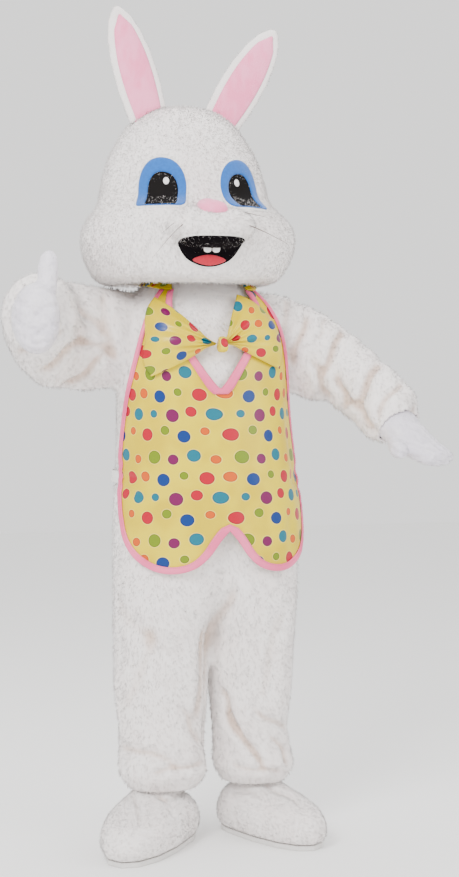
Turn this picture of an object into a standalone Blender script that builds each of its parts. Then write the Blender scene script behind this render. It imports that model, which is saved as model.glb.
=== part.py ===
"""Rabbit mascot costume: plush jumpsuit, padded head, satin vest with a bow tie, gloves and boots.

Sizes are in metres. Heights are measured up from the floor, and the whole costume hangs from an empty at
the wearer's shoulders, so the shoulders are the origin. The costume faces -Y, and its left is +X.
"""
import math
from collections import namedtuple

import bmesh
import bpy
from mathutils import Matrix, Vector

# Driving sizes
SHOULDER_HEIGHT = 1.30
SEAM = 0.0004
PLUSH_WALL = 0.007
SATIN_WALL = 0.002
GLOVE_WALL = 0.0025
HEAD_WALL = 0.024
FELT_WALL = 0.003
BINDING_WIDTH = 0.015
HEM_HEIGHT = 0.125
NECK_TOP = 1.372
SQUARENESS = 2.2
EVEN = 1e-6

# Faces along and around each kind of piece
SUIT_COLUMNS = 6
SLEEVE_SIDES = 14
HEAD_COLUMNS = 14

FRONT = math.radians(90)


def clear_scene():
    for old in list(bpy.data.objects):
        bpy.data.objects.remove(old)


def finish(name, colour, roughness, metallic=0.0):
    """A plain material with the piece's colour, roughness and metallic value."""
    made = bpy.data.materials.new(name)
    made.use_nodes = True
    shader = made.node_tree.nodes["Principled BSDF"]
    shader.inputs["Base Color"].default_value = (*colour, 1.0)
    shader.inputs["Roughness"].default_value = roughness
    shader.inputs["Metallic"].default_value = metallic
    return made


def anchor(name, place, turn=(0, 0, 0), parent=None):
    """An empty that carries one sub-assembly."""
    made = bpy.data.objects.new(name, None)
    made.location = place
    made.rotation_euler = turn
    made.parent = parent
    bpy.context.scene.collection.objects.link(made)
    return made


def at(table, place):
    """A table's row at a place along its first column, on a smooth curve through its rows."""
    last = len(table) - 1
    place = min(max(place, table[0][0]), table[last][0])
    low = max(i for i in range(last) if table[i][0] <= place) if place > table[0][0] else 0
    a, b = table[low], table[low + 1]
    before, after = table[max(low - 1, 0)], table[min(low + 2, last)]
    span = b[0] - a[0]
    t = (place - a[0]) / span
    values = []
    for column in range(len(a)):
        slope_a = (b[column] - before[column]) / (b[0] - before[0]) * span
        slope_b = (after[column] - a[column]) / (after[0] - a[0]) * span
        values.append(
            (2 * t**3 - 3 * t**2 + 1) * a[column]
            + (t**3 - 2 * t**2 + t) * slope_a
            + (3 * t**2 - 2 * t**3) * b[column]
            + (t**3 - t**2) * slope_b
        )
    return type(a)(*values)


def spread(low, high, count):
    """Evenly spaced values from low to high, both ends included."""
    return [low + (high - low) * i / count for i in range(count + 1)]


def squared(share, squareness=SQUARENESS):
    """The sine or cosine of an angle, pushed outwards so that a ring is squarer than an ellipse, whose value is 2."""
    return math.copysign(abs(share) ** (2 / squareness), share)


def bell(distance, width):
    return math.exp(-((distance / width) ** 2))


def add_object(name, material, points, faces, parent, smooth=True):
    """One closed mesh object, its faces pointing out."""
    mesh = bpy.data.meshes.new(name)
    mesh.from_pydata(points, [], faces)
    work = bmesh.new()
    work.from_mesh(mesh)
    bmesh.ops.recalc_face_normals(work, faces=work.faces)
    if work.calc_volume(signed=True) < 0:
        bmesh.ops.reverse_faces(work, faces=work.faces)
    work.to_mesh(mesh)
    work.free()
    if smooth:
        mesh.shade_smooth()
        mesh.set_sharp_from_angle(angle=math.radians(50))
    made = bpy.data.objects.new(name, mesh)
    if material:
        mesh.materials.append(material)
    made.parent = parent
    bpy.context.scene.collection.objects.link(made)
    return made


def plate(name, material, outer, inner, parent, wrap=False, missing=()):
    """A cloth wall between two grids of points, closed along every free edge.

    wrap joins the last column to the first, and missing lists (row, column) cells that are left out.
    """
    rows, columns = len(outer), len(outer[0])
    index, points, behind = {}, [], []
    numbers = []
    for r in range(rows):
        for c in range(columns):
            key = tuple(round(v / EVEN) for v in outer[r][c])
            if key not in index:
                index[key] = len(points)
                points.append(outer[r][c])
                behind.append(inner[r][c])
            numbers.append(index[key])
    count = len(points)
    faces, used = [], set()
    for r in range(rows - 1):
        for c in range(columns if wrap else columns - 1):
            if (r, c) in missing:
                continue
            d = (c + 1) % columns
            loop = [numbers[r * columns + c], numbers[r * columns + d]]
            loop += [numbers[(r + 1) * columns + d], numbers[(r + 1) * columns + c]]
            loop = [n for i, n in enumerate(loop) if n != loop[i - 1]]
            if len(loop) < 3:
                continue
            faces.append(loop)
            used |= {(n, loop[(i + 1) % len(loop)]) for i, n in enumerate(loop)}
    front = list(faces)
    faces += [[n + count for n in reversed(loop)] for loop in front]
    faces += [[b, a, a + count, b + count] for a, b in used if (b, a) not in used]
    return add_object(name, material, points + behind, faces, parent)


def body(name, material, rings, parent, cutter=False, strips=False):
    """A closed body through rings of points. An end is one flat face, or strips across a ring that isn't flat."""
    sides = len(rings[0])
    points = [p for ring in rings for p in ring]
    faces = [
        [r * sides + c, r * sides + (c + 1) % sides, (r + 1) * sides + (c + 1) % sides, (r + 1) * sides + c]
        for r in range(len(rings) - 1)
        for c in range(sides)
    ]
    last = len(points) - sides
    if strips:
        for c in range(sides // 2 - 1):
            strip = [c, c + 1, sides - 2 - c, sides - 1 - c]
            faces += [strip, [last + n for n in reversed(strip)]]
    else:
        faces += [list(range(sides)), [last + n for n in reversed(range(sides))]]
    made = add_object(name, material, points, faces, parent)
    if cutter:
        made.hide_render = True
        made.display_type = "WIRE"
    return made


def cut(piece, tool, operation="DIFFERENCE"):
    """Cuts one body with another, or joins it on."""
    work = piece.modifiers.new(f"{operation.title()} {tool.name}", "BOOLEAN")
    work.operation = operation
    work.solver = "EXACT"
    work.object = tool


# Jumpsuit: trunk, hip and leg panels of plush, four of each, joined at centre, sides and inseams
SuitRing = namedtuple("SuitRing", "height apart half_width half_depth sway y")
SUIT_RINGS = (
    SuitRing(HEM_HEIGHT, 0.118, 0.076, 0.076, 0.014, 0.020),
    SuitRing(0.138, 0.118, 0.086, 0.086, 0.014, 0.020),
    SuitRing(0.165, 0.117, 0.102, 0.103, 0.013, 0.018),
    SuitRing(0.215, 0.116, 0.097, 0.100, 0.010, 0.016),
    SuitRing(0.300, 0.115, 0.099, 0.106, 0.005, 0.014),
    SuitRing(0.400, 0.112, 0.107, 0.118, 0.001, 0.010),
    SuitRing(0.480, 0.109, 0.1100, 0.132, 0.000, 0.006),
    SuitRing(0.560, 0.098, 0.124, 0.150, 0.000, 0.002),
    SuitRing(0.660, 0.068, 0.155, 0.166, 0.000, 0.000),
    SuitRing(0.780, 0.030, 0.190, 0.172, 0.000, 0.000),
    SuitRing(0.920, 0.004, 0.204, 0.168, -0.006, 0.000),
    SuitRing(1.050, 0.002, 0.198, 0.158, -0.012, 0.000),
    SuitRing(1.160, 0.002, 0.198, 0.150, -0.014, 0.003),
    SuitRing(1.230, 0.002, 0.190, 0.141, -0.015, 0.006),
    SuitRing(1.280, 0.002, 0.170, 0.127, -0.017, 0.008),
    SuitRing(1.312, 0.002, 0.142, 0.112, -0.018, 0.010),
    SuitRing(1.335, 0.002, 0.112, 0.098, -0.019, 0.012),
    SuitRing(1.350, 0.002, 0.098, 0.090, -0.020, 0.012),
)
# The right foot stands a little ahead of the left one
STEP_HEIGHT = 0.55
STEP = {-1: -0.022, 1: 0.010}
LEG_GIRTH = {-1: 1.07, 1: 0.985}
WAIST_HEIGHT = 0.872
HIP_HEIGHT = 0.62
LEG_HEIGHTS = spread(HEM_HEIGHT, 0.165, 2) + spread(0.215, 0.57, 7) + [HIP_HEIGHT - SEAM / 2]
HIP_HEIGHTS = spread(HIP_HEIGHT + SEAM / 2, WAIST_HEIGHT - SEAM / 2, 4)
TRUNK_HEIGHTS = spread(WAIST_HEIGHT + SEAM / 2, 1.16, 4) + [1.20, 1.24, 1.275, 1.30, 1.32, 1.335, 1.350]

# Soft troughs pressed into the plush: where along, at what angle, how long, how wide round, how deep
Fold = namedtuple("Fold", "along angle long wide deep")
RIGHT_LEG_FOLDS = (
    Fold(0.24, 140, 0.030, 70, 0.010),
    Fold(0.31, 60, 0.040, 50, 0.007),
    Fold(0.44, 20, 0.045, 40, 0.006),
    Fold(0.27, -90, 0.035, 80, 0.009),
    Fold(0.62, -60, 0.060, 40, 0.008),
)
LEFT_LEG_FOLDS = (
    Fold(0.22, 100, 0.024, 60, 0.010),
    Fold(0.28, 50, 0.028, 60, 0.010),
    Fold(0.36, 125, 0.035, 45, 0.010),
    Fold(0.24, 0, 0.022, 60, 0.012),
    Fold(0.30, -80, 0.035, 80, 0.009),
    Fold(0.62, -60, 0.060, 40, 0.008),
)
LEG_FOLDS = {-1: RIGHT_LEG_FOLDS, 1: LEFT_LEG_FOLDS}


def fold_depth(folds, along, angle):
    """How far the plush is pressed in at one place."""
    total = 0.0
    for fold in folds:
        away = (math.degrees(angle) - fold.angle + 180) % 360 - 180
        total += fold.deep * bell(along - fold.along, fold.long) * bell(away, fold.wide)
    return total


def step_of(side, height):
    """How far back of the middle one leg stands at a height."""
    return STEP[side] * (max(0.0, STEP_HEIGHT - height) / STEP_HEIGHT) ** 2


def leg_ring(side, height):
    """The jumpsuit's ring at a height, a little fuller on the right leg than on the left."""
    ring = at(SUIT_RINGS, height)
    fade = min(1.0, max(0.0, STEP_HEIGHT - height) / 0.2)
    return ring._replace(half_width=ring.half_width * (1 + (LEG_GIRTH[side] - 1) * fade))


def centre_angle(ring, inset):
    """The angle at which one side's ring meets the centre plane, or half a turn on a separate leg."""
    share = (SEAM / 2 - ring.apart) / (ring.half_width - inset)
    if share <= -1:
        return math.pi - SEAM / ring.half_depth
    return math.acos(math.copysign(abs(share) ** (SQUARENESS / 2), share))


def suit_point(side, height, angle, inset=0.0):
    """A point on one side of the jumpsuit. Angle 0 is out to the side, and a quarter turn is the front."""
    ring = leg_ring(side, height)
    inset = inset + fold_depth(LEG_FOLDS[side], height, angle)
    across = ring.apart + (ring.half_width - inset) * squared(math.cos(angle))
    deep = (ring.half_depth - inset) * squared(math.sin(angle))
    return Vector((ring.sway + side * max(across, SEAM / 2), ring.y + step_of(side, height) - deep, height))


def suit_panel(name, material, side, way, heights, parent):
    """A panel of the trunk or of the leg. way is 1 for the front and -1 for the back."""
    grids = []
    for inset in (0.0, PLUSH_WALL):
        grid = []
        for height in heights:
            ring = leg_ring(side, height)
            seam_angle = SEAM / 2 / ring.half_depth
            angles = spread(centre_angle(ring, inset), seam_angle, SUIT_COLUMNS)
            grid.append([suit_point(side, height, way * angle, inset) for angle in angles])
        grids.append(grid)
    return plate(name, material, grids[0], grids[1], parent)


def trunk_rings(grow):
    """Whole rings of the trunk, from the waist to the neck, moved out by grow."""
    rings = []
    for height in spread(0.95, 1.16, 3) + [1.20, 1.24, 1.275, 1.30, 1.32, 1.335, 1.350]:
        ring = at(SUIT_RINGS, height)
        left = spread(-FRONT, FRONT, 2 * SUIT_COLUMNS)
        right = spread(FRONT, 3 * FRONT, 2 * SUIT_COLUMNS)[1:-1]
        loop = []
        for angle in left + right:
            across = (ring.apart + ring.half_width + grow) * squared(math.cos(angle))
            deep = (ring.half_depth + grow) * squared(math.sin(angle))
            loop.append(Vector((ring.sway + across, ring.y - deep, height)))
        rings.append(loop)
    return rings


# Sleeves: tubes along the arm, each from inside the armhole to the elbow, and from there to its cuff
ELBOW = 0.225
ArmRing = namedtuple("ArmRing", "along x y z half_high half_deep")
RIGHT_ARM = (
    ArmRing(0.00, -0.105, 0.012, 1.196, 0.104, 0.069),
    ArmRing(0.06, -0.165, 0.014, 1.196, 0.112, 0.071),
    ArmRing(0.14, -0.238, 0.020, 1.197, 0.122, 0.088),
    ArmRing(0.22, -0.308, 0.024, 1.200, 0.128, 0.094),
    ArmRing(0.29, -0.364, 0.000, 1.206, 0.130, 0.092),
    ArmRing(0.36, -0.402, -0.050, 1.229, 0.114, 0.094),
    ArmRing(0.43, -0.425, -0.108, 1.247, 0.100, 0.088),
    ArmRing(0.475, -0.438, -0.146, 1.247, 0.092, 0.082),
    ArmRing(0.495, -0.445, -0.164, 1.245, 0.078, 0.070),
    ArmRing(0.505, -0.448, -0.174, 1.245, 0.074, 0.066),
)
LEFT_ARM = (
    ArmRing(0.00, 0.085, 0.012, 1.220, 0.092, 0.068),
    ArmRing(0.06, 0.140, 0.012, 1.209, 0.107, 0.071),
    ArmRing(0.14, 0.212, 0.004, 1.184, 0.113, 0.088),
    ArmRing(0.22, 0.286, -0.018, 1.150, 0.104, 0.094),
    ArmRing(0.29, 0.345, -0.048, 1.114, 0.090, 0.087),
    ArmRing(0.36, 0.384, -0.104, 1.070, 0.078, 0.082),
    ArmRing(0.43, 0.405, -0.160, 1.028, 0.077, 0.080),
    ArmRing(0.475, 0.416, -0.192, 1.000, 0.076, 0.082),
    ArmRing(0.490, 0.421, -0.203, 0.991, 0.064, 0.074),
)
RIGHT_ARM_FOLDS = (
    Fold(0.30, -150, 0.020, 60, 0.012),
    Fold(0.36, -170, 0.020, 50, 0.010),
    Fold(0.24, -100, 0.020, 60, 0.008),
    Fold(0.15, -60, 0.024, 50, 0.008),
)
LEFT_ARM_FOLDS = (
    Fold(0.130, 60, 0.010, 75, 0.010),
    Fold(0.175, 110, 0.009, 80, 0.014),
    Fold(0.215, 60, 0.010, 80, 0.013),
    Fold(0.255, 100, 0.009, 85, 0.016),
    Fold(0.295, 70, 0.009, 90, 0.016),
    Fold(0.335, 110, 0.010, 90, 0.014),
    Fold(0.285, -90, 0.016, 70, 0.020),
    Fold(0.200, -60, 0.014, 50, 0.012),
)


def tube_frame(table, along):
    """Centre, level axis and upright axis of a tube's section."""
    step = 0.004
    here, past, next_one = at(table, along), at(table, along - step), at(table, along + step)
    centre = Vector((here.x, here.y, here.z))
    heading = Vector((next_one.x - past.x, next_one.y - past.y, next_one.z - past.z)).normalized()
    level = heading.cross(Vector((0, 0, 1))).normalized()
    upright = level.cross(heading).normalized()
    return centre, level, upright, here


def tube_rings(table, places, sides, inset=0.0, folds=()):
    """Rings of points along a tube. Angle 0 is level and a quarter turn is the top."""
    rings = []
    for along in places:
        centre, level, upright, size = tube_frame(table, along)
        ring = []
        for side in range(sides):
            angle = 2 * math.pi * side / sides
            pressed = inset + fold_depth(folds, along, angle)
            sideways = level * (size.half_deep - pressed) * math.cos(angle)
            upwards = upright * (size.half_high - pressed) * math.sin(angle)
            ring.append(centre + sideways + upwards)
        rings.append(ring)
    return rings


def sleeve(name, material, table, folds, places, parent, trunk, panels):
    """A sleeve in two tubes that meet at the elbow. It opens its armhole in the panels behind it."""
    upper = [place for place in places if place < ELBOW] + [ELBOW - SEAM / 2]
    lower = [ELBOW + SEAM / 2] + [place for place in places if place > ELBOW]
    for word, part in (("upper", upper), ("lower", lower)):
        outer = tube_rings(table, part, SLEEVE_SIDES, 0.0, folds)
        inner = tube_rings(table, part, SLEEVE_SIDES, PLUSH_WALL, folds)
        made = plate(f"{name}_{word}", material, outer, inner, parent, wrap=True)
        if word == "upper":
            cut(made, trunk)
    hollow_places = [place for place in places if place < 0.20]
    hollow = body(f"{name}_hollow", None, tube_rings(table, hollow_places, SLEEVE_SIDES, PLUSH_WALL), parent, True)
    for panel in panels:
        cut(panel, hollow)


def neck_band(name, material, parent):
    """A low stand collar on the neckline."""
    low, high = SUIT_RINGS[-1].height + SEAM, NECK_TOP
    ring = SUIT_RINGS[-1]
    grids = []
    for inset in (0.0, PLUSH_WALL):
        grid = []
        for height in (low, (low + high) / 2, high):
            rise = (height - low) / (high - low)
            wide = ring.apart + ring.half_width - inset - 0.004 * rise
            deep = ring.half_depth - inset - 0.003 * rise
            angles = [2 * math.pi * i / (3 * SUIT_COLUMNS) for i in range(3 * SUIT_COLUMNS)]
            grid.append(
                [
                    Vector((ring.sway + wide * squared(math.cos(a)), ring.y - deep * squared(math.sin(a)), height))
                    for a in angles
                ]
            )
        grids.append(grid)
    return plate(name, material, grids[0], grids[1], parent, wrap=True)


# Vest: a satin front on a halter strap, cut with a deep V and a two-lobed hem
VEST_RADIUS = 0.19
VEST_MARGIN = 0.005
V_BOTTOM = 1.078
V_FLARE = 0.43
VEST_TOP = 1.312
VestEase = namedtuple("VestEase", "height side front squareness")
VEST_EASE = (
    VestEase(0.60, 0.011, 0.030, 2.2),
    VestEase(0.75, 0.009, 0.024, 2.2),
    VestEase(0.88, 0.009, 0.016, 2.2),
    VestEase(1.00, 0.007, 0.012, 2.3),
    VestEase(1.12, 0.006, 0.010, 2.6),
    VestEase(1.20, 0.007, 0.010, 2.9),
    VestEase(1.26, 0.008, 0.010, 2.8),
    VestEase(1.312, 0.009, 0.009, 2.4),
    VestEase(1.36, 0.006, 0.008, 2.2),
)
VestSide = namedtuple("VestSide", "height reach")
VEST_SIDE = (
    VestSide(0.790, 0.255),
    VestSide(0.860, 0.264),
    VestSide(0.960, 0.262),
    VestSide(1.060, 0.240),
    VestSide(1.120, 0.212),
    VestSide(1.180, 0.182),
    VestSide(1.240, 0.160),
    VestSide(1.290, 0.150),
    VestSide(VEST_TOP, 0.148),
)
VestHem = namedtuple("VestHem", "reach height")
VEST_HEM = (
    VestHem(0.000, 0.752),
    VestHem(0.014, 0.728),
    VestHem(0.032, 0.694),
    VestHem(0.056, 0.668),
    VestHem(0.090, 0.655),
    VestHem(0.130, 0.656),
    VestHem(0.170, 0.671),
    VestHem(0.208, 0.698),
    VestHem(0.238, 0.738),
    VestHem(0.255, 0.790),
)
HEM_STOPS = (0.248, 0.235, 0.215, 0.19, 0.16, 0.13, 0.10, 0.07, 0.047, 0.030, 0.015, 0.0)
VestPull = namedtuple("VestPull", "reach height wide tall deep")
VEST_PULLS = (
    VestPull(-0.225, 0.885, 0.045, 0.010, 0.0050),
    VestPull(-0.215, 0.850, 0.050, 0.009, 0.0045),
    VestPull(0.225, 0.870, 0.045, 0.011, 0.0045),
    VestPull(0.040, 0.800, 0.022, 0.060, 0.0050),
    VestPull(-0.050, 0.760, 0.030, 0.050, 0.0040),
    VestPull(0.150, 0.740, 0.028, 0.050, 0.0050),
)


def vest_point(reach, height, lift=0.0):
    """A point on the vest's surface. reach is the distance round from centre front, + to the left."""
    ring, ease = at(SUIT_RINGS, height), at(VEST_EASE, height)
    angle = reach / VEST_RADIUS
    pulls = [p.deep * bell(reach - p.reach, p.wide) * bell(height - p.height, p.tall) for p in VEST_PULLS]
    stand = lift - sum(pulls)
    sine, cosine = math.sin(angle), math.cos(angle)
    sine = math.copysign(abs(sine) ** (2 / ease.squareness), sine)
    cosine = math.copysign(abs(cosine) ** (2 / ease.squareness), cosine)
    across = (ring.apart + ring.half_width + ease.side + stand) * sine
    deep = (ring.half_depth + ease.front + stand) * cosine
    return Vector((ring.sway + across, ring.y - deep, height))


def vest_front_y(x, height, lift=0.0):
    """How far forward the vest's surface is at a given x."""
    ring, ease = at(SUIT_RINGS, height), at(VEST_EASE, height)
    share = abs(x - ring.sway) / (ring.apart + ring.half_width + ease.side + lift)
    rest = max(0.0, 1 - min(share, 0.995) ** ease.squareness) ** (1 / ease.squareness)
    return ring.y - (ring.half_depth + ease.front + lift) * rest


def v_reach(height):
    """How far the V neck's edge is from centre front."""
    return max(0.0, (height - V_BOTTOM) * V_FLARE)


def vest_outline():
    """The outer edge from the left strap down round the hem to the right strap, as (reach, height)."""
    side = [(at(VEST_SIDE, h).reach, h) for h in spread(VEST_TOP, VEST_SIDE[0].height, 14)]
    hem = [(r, at(VEST_HEM, r).height) for r in HEM_STOPS]
    half = side + hem
    return half + [(-r, h) for r, h in reversed(half[:-1])]


def vest_front(name, material, parent):
    """The satin front, in rows from the hem up, open along the V neck."""
    edge = VEST_MARGIN
    half_columns, rows_below, rows_above = 7, 8, 8
    turn_height = V_BOTTOM - edge
    grids = []
    for lift in (SATIN_WALL, 0.0):
        grid = []
        for row in range(rows_below + rows_above + 1):
            line = []
            for side in (-1, 1):
                for share in spread(1, 0, half_columns) if side < 0 else spread(0, 1, half_columns):
                    if row <= rows_below:
                        rise = row / rows_below
                        low = at(VEST_HEM, share * VEST_HEM[-1].reach).height + edge
                        height = low + (turn_height - low) * rise
                        widest = at(VEST_SIDE, height).reach if share == 1 else VEST_HEM[-1].reach
                        widest += (at(VEST_SIDE, turn_height).reach - widest) * rise if share < 1 else 0
                        reach = share * (widest - edge)
                    else:
                        rise = (row - rows_below) / rows_above
                        height = turn_height + (VEST_TOP - turn_height) * rise
                        near = v_reach(height) + (edge * min(1.0, 3 * rise) if height > turn_height else 0)
                        near = max(near, 0.0)
                        far = at(VEST_SIDE, height).reach - edge
                        reach = near + (far - near) * share
                    line.append(vest_point(side * reach, height, lift))
            grid.append(line)
        grids.append(grid)
    gap = {(row, half_columns) for row in range(rows_below + rows_above + 1)}
    return plate(name, material, grids[0], grids[1], parent, missing=gap)


def inward_of(path, sign):
    """Unit vectors at right angles to a path, on the side that sign gives."""
    ways = []
    for i in range(len(path)):
        a, b = path[max(i - 1, 0)], path[min(i + 1, len(path) - 1)]
        along = Vector((b[0] - a[0], b[1] - a[1])).normalized()
        ways.append((sign * along.y, -sign * along.x))
    return ways


BindingEdge = namedtuple("BindingEdge", "share top under")
BINDING_EDGES = (
    BindingEdge(0.00, 0.0032, 0.0006),
    BindingEdge(0.22, 0.0066, 0.0042),
    BindingEdge(0.80, 0.0066, 0.0042),
    BindingEdge(1.00, 0.0052, 0.0042),
)


def binding(name, material, path, ways, parent):
    """A folded band over an edge of the vest, its width in the direction given for each point."""
    outer, inner = [], []
    for (reach, height), way in zip(path, ways):
        line_out, line_in = [], []
        for edge in BINDING_EDGES:
            across = reach + way[0] * edge.share * BINDING_WIDTH
            up = height + way[1] * edge.share * BINDING_WIDTH
            line_out.append(vest_point(across, up, edge.top))
            line_in.append(vest_point(across, up, edge.under))
        outer.append(line_out)
        inner.append(line_in)
    return plate(name, material, outer, inner, parent)


# Neck strap and waist strap, which hold the vest on round the nape and the small of the back
StrapRow = namedtuple("StrapRow", "turn inner_reach inner_height outer_reach outer_height")
NECK_STRAP = (
    StrapRow(0.00, 0.104, VEST_TOP + SEAM, 0.147, VEST_TOP + SEAM),
    StrapRow(0.15, 0.130, 1.330, 0.180, 1.316),
    StrapRow(0.35, 0.200, 1.343, 0.235, 1.321),
    StrapRow(0.60, 0.320, 1.347, 0.330, 1.325),
    StrapRow(0.80, 0.460, 1.347, 0.460, 1.326),
    StrapRow(1.00, 0.597, 1.347, 0.597, 1.326),
)
WAIST_STRAP_HEIGHT = 0.872
WAIST_STRAP_WIDTH = 0.028


def neck_strap(name, material, parent):
    """The halter strap, in one piece from one top edge of the vest round the nape to the other."""
    half = [at(NECK_STRAP, turn) for turn in spread(0, 1, 9)]
    grids = []
    for lift in (SATIN_WALL + 0.0010, 0.0010):
        grid = []
        for side, rows in ((1, half), (-1, list(reversed(half[:-1])))):
            for row in rows:
                line = []
                for share in (0.0, 0.5, 1.0):
                    reach = row.inner_reach + (row.outer_reach - row.inner_reach) * share
                    height = row.inner_height + (row.outer_height - row.inner_height) * share
                    line.append(vest_point(side * reach, height, lift))
                grid.append(line)
        grids.append(grid)
    return plate(name, material, grids[0], grids[1], parent)


def waist_strap(name, material, parent):
    """A flat elastic from one side edge of the vest round the small of the back to the other."""
    start = math.degrees(at(VEST_SIDE, WAIST_STRAP_HEIGHT).reach / VEST_RADIUS) + 0.6
    grids = []
    for lift in (0.0075, 0.0060):
        grid = []
        for degrees in spread(start, 360 - start, 20):
            angle = math.radians(degrees)
            line = []
            for height in spread(-WAIST_STRAP_WIDTH / 2, WAIST_STRAP_WIDTH / 2, 2):
                ring = at(SUIT_RINGS, WAIST_STRAP_HEIGHT + height)
                across = (ring.apart + ring.half_width + lift) * squared(math.sin(angle))
                deep = (ring.half_depth + lift) * squared(math.cos(angle))
                line.append(Vector((ring.sway + across, ring.y - deep, WAIST_STRAP_HEIGHT + height)))
            grid.append(line)
        grids.append(grid)
    return plate(name, material, grids[0], grids[1], parent)


# Bow tie: two padded satin halves that fan out from a knot over the V neck
KNOT_X = -0.012
KNOT_HEIGHT = 1.182
BOW_LIFT = 0.009
BowRay = namedtuple("BowRay", "turn degrees length thick")
RIGHT_BOW = (
    BowRay(0.0, 205, 0.176, 0.006),
    BowRay(0.2, 193, 0.181, 0.026),
    BowRay(0.5, 175, 0.172, 0.034),
    BowRay(0.8, 154, 0.182, 0.026),
    BowRay(1.0, 142, 0.180, 0.006),
)
LEFT_BOW = (
    BowRay(0.0, -20, 0.164, 0.006),
    BowRay(0.2, -5, 0.160, 0.026),
    BowRay(0.5, 20, 0.148, 0.034),
    BowRay(0.8, 50, 0.136, 0.026),
    BowRay(1.0, 66, 0.130, 0.006),
)


def bow_half(name, material, rays, parent):
    """One half of the bow, pleated where the knot gathers it."""
    turns = spread(0, 1, 12)
    rings = []
    for share in (0.100, 0.17, 0.30, 0.48, 0.66, 0.82, 0.93, 0.985):
        front, back = [], []
        for turn in turns:
            ray = at(rays, turn)
            angle = math.radians(ray.degrees)
            gathered = 1 - 0.35 * bell(share, 0.35)
            middle = math.radians(at(rays, 0.5).degrees)
            angle = middle + (angle - middle) * (0.55 + 0.45 * min(1, share / 0.30)) * gathered
            length = ray.length * share
            x = KNOT_X + length * math.cos(angle)
            height = KNOT_HEIGHT + length * math.sin(angle)
            pleat = 1 + 0.28 * math.cos(6 * math.pi * turn) * (1 - share)
            rounded = math.sqrt(max(0.0, 1 - (max(0.0, share - 0.6) / 0.42) ** 2))
            thick = max(0.003, ray.thick * pleat * rounded * min(1.0, 0.55 + share))
            y = vest_front_y(x, height, BOW_LIFT)
            front.append(Vector((x, y - thick, height)))
            back.append(Vector((x, y, height)))
        rings.append(front + list(reversed(back)))
    return body(name, material, rings, parent, strips=True)


def bow_knot(name, material, parent):
    """The small band that gathers the two halves."""
    y = vest_front_y(KNOT_X, KNOT_HEIGHT, BOW_LIFT)
    rings = []
    for share, size in ((-1.0, 0.80), (-0.6, 1.0), (0.6, 1.0), (1.0, 0.80)):
        ring = []
        for i in range(10):
            angle = 2 * math.pi * i / 10
            across = 0.0095 * share
            ring.append(
                Vector((KNOT_X + across, y - 0.017 + 0.016 * size * math.cos(angle),
                        KNOT_HEIGHT + 0.021 * size * math.sin(angle)))
            )
        rings.append(ring)
    return body(name, material, rings, parent)


# Head: a hollow padded shell in two halves, open at the neck
HEAD_PLACE = (-0.056, -0.018, 0)
HEAD_TURN = math.radians(-0.5)
HeadRing = namedtuple("HeadRing", "turn height half_width front back forward squareness")
HEAD_RINGS = (
    HeadRing(0.00, 1.326, 0.209, 0.147, 0.230, 0.030, 2.2),
    HeadRing(0.06, 1.340, 0.222, 0.156, 0.242, 0.034, 2.2),
    HeadRing(0.13, 1.366, 0.236, 0.161, 0.250, 0.040, 2.2),
    HeadRing(0.21, 1.400, 0.249, 0.164, 0.262, 0.044, 2.2),
    HeadRing(0.29, 1.436, 0.252, 0.166, 0.264, 0.046, 2.2),
    HeadRing(0.36, 1.468, 0.242, 0.166, 0.254, 0.042, 2.1),
    HeadRing(0.42, 1.494, 0.219, 0.163, 0.236, 0.030, 2.0),
    HeadRing(0.48, 1.518, 0.204, 0.160, 0.214, 0.012, 1.9),
    HeadRing(0.56, 1.560, 0.195, 0.159, 0.198, 0.000, 1.9),
    HeadRing(0.65, 1.605, 0.182, 0.158, 0.181, -0.010, 2.0),
    HeadRing(0.74, 1.652, 0.160, 0.151, 0.160, -0.022, 2.1),
    HeadRing(0.84, 1.703, 0.124, 0.128, 0.126, -0.034, 2.2),
    HeadRing(0.92, 1.733, 0.084, 0.090, 0.087, -0.040, 2.2),
    HeadRing(0.97, 1.746, 0.041, 0.045, 0.042, -0.042, 2.2),
    HeadRing(1.00, 1.750, 0.001, 0.001, 0.001, -0.042, 2.2),
)
HEAD_TURNS = [ring.turn for ring in HEAD_RINGS[:-1]] + [1.0]
FACE_RADIUS = 0.20


def head_rows(inset):
    """The head's profile moved in along its normal."""
    rows = []
    for turn in HEAD_TURNS:
        ring, low, high = at(HEAD_RINGS, turn), at(HEAD_RINGS, turn - 0.01), at(HEAD_RINGS, turn + 0.01)
        slope = Vector((high.half_width - low.half_width, high.height - low.height)).normalized()
        depth = inset * (0.6 if turn == 0 else 1.0)
        shrink, drop = depth * slope.y, -depth * slope.x
        if turn == 0:
            drop = 0.0
        rows.append(
            ring._replace(
                height=ring.height - drop,
                half_width=ring.half_width - shrink,
                front=ring.front - shrink,
                back=ring.back - shrink,
            )
        )
    rows[-1] = rows[-1]._replace(height=HEAD_RINGS[-1].height - inset, half_width=0.0, front=0.0, back=0.0)
    return rows


def head_half(name, material, way, parent):
    """The front (way 1) or back (way -1) half of the head."""
    grids = []
    for inset in (0.0, HEAD_WALL):
        grid = []
        for ring in head_rows(inset):
            depth, squareness = (ring.front, ring.squareness) if way > 0 else (ring.back, SQUARENESS)
            line = []
            for angle in spread(-FRONT, FRONT, HEAD_COLUMNS):
                across = ring.half_width * squared(math.sin(angle), squareness)
                forward = max(depth * squared(math.cos(angle), squareness), SEAM / 2)
                line.append(Vector((across, -ring.forward - way * forward, ring.height)))
            grid.append(line)
        grids.append(grid)
    return plate(name, material, grids[0], grids[1], parent)


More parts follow.
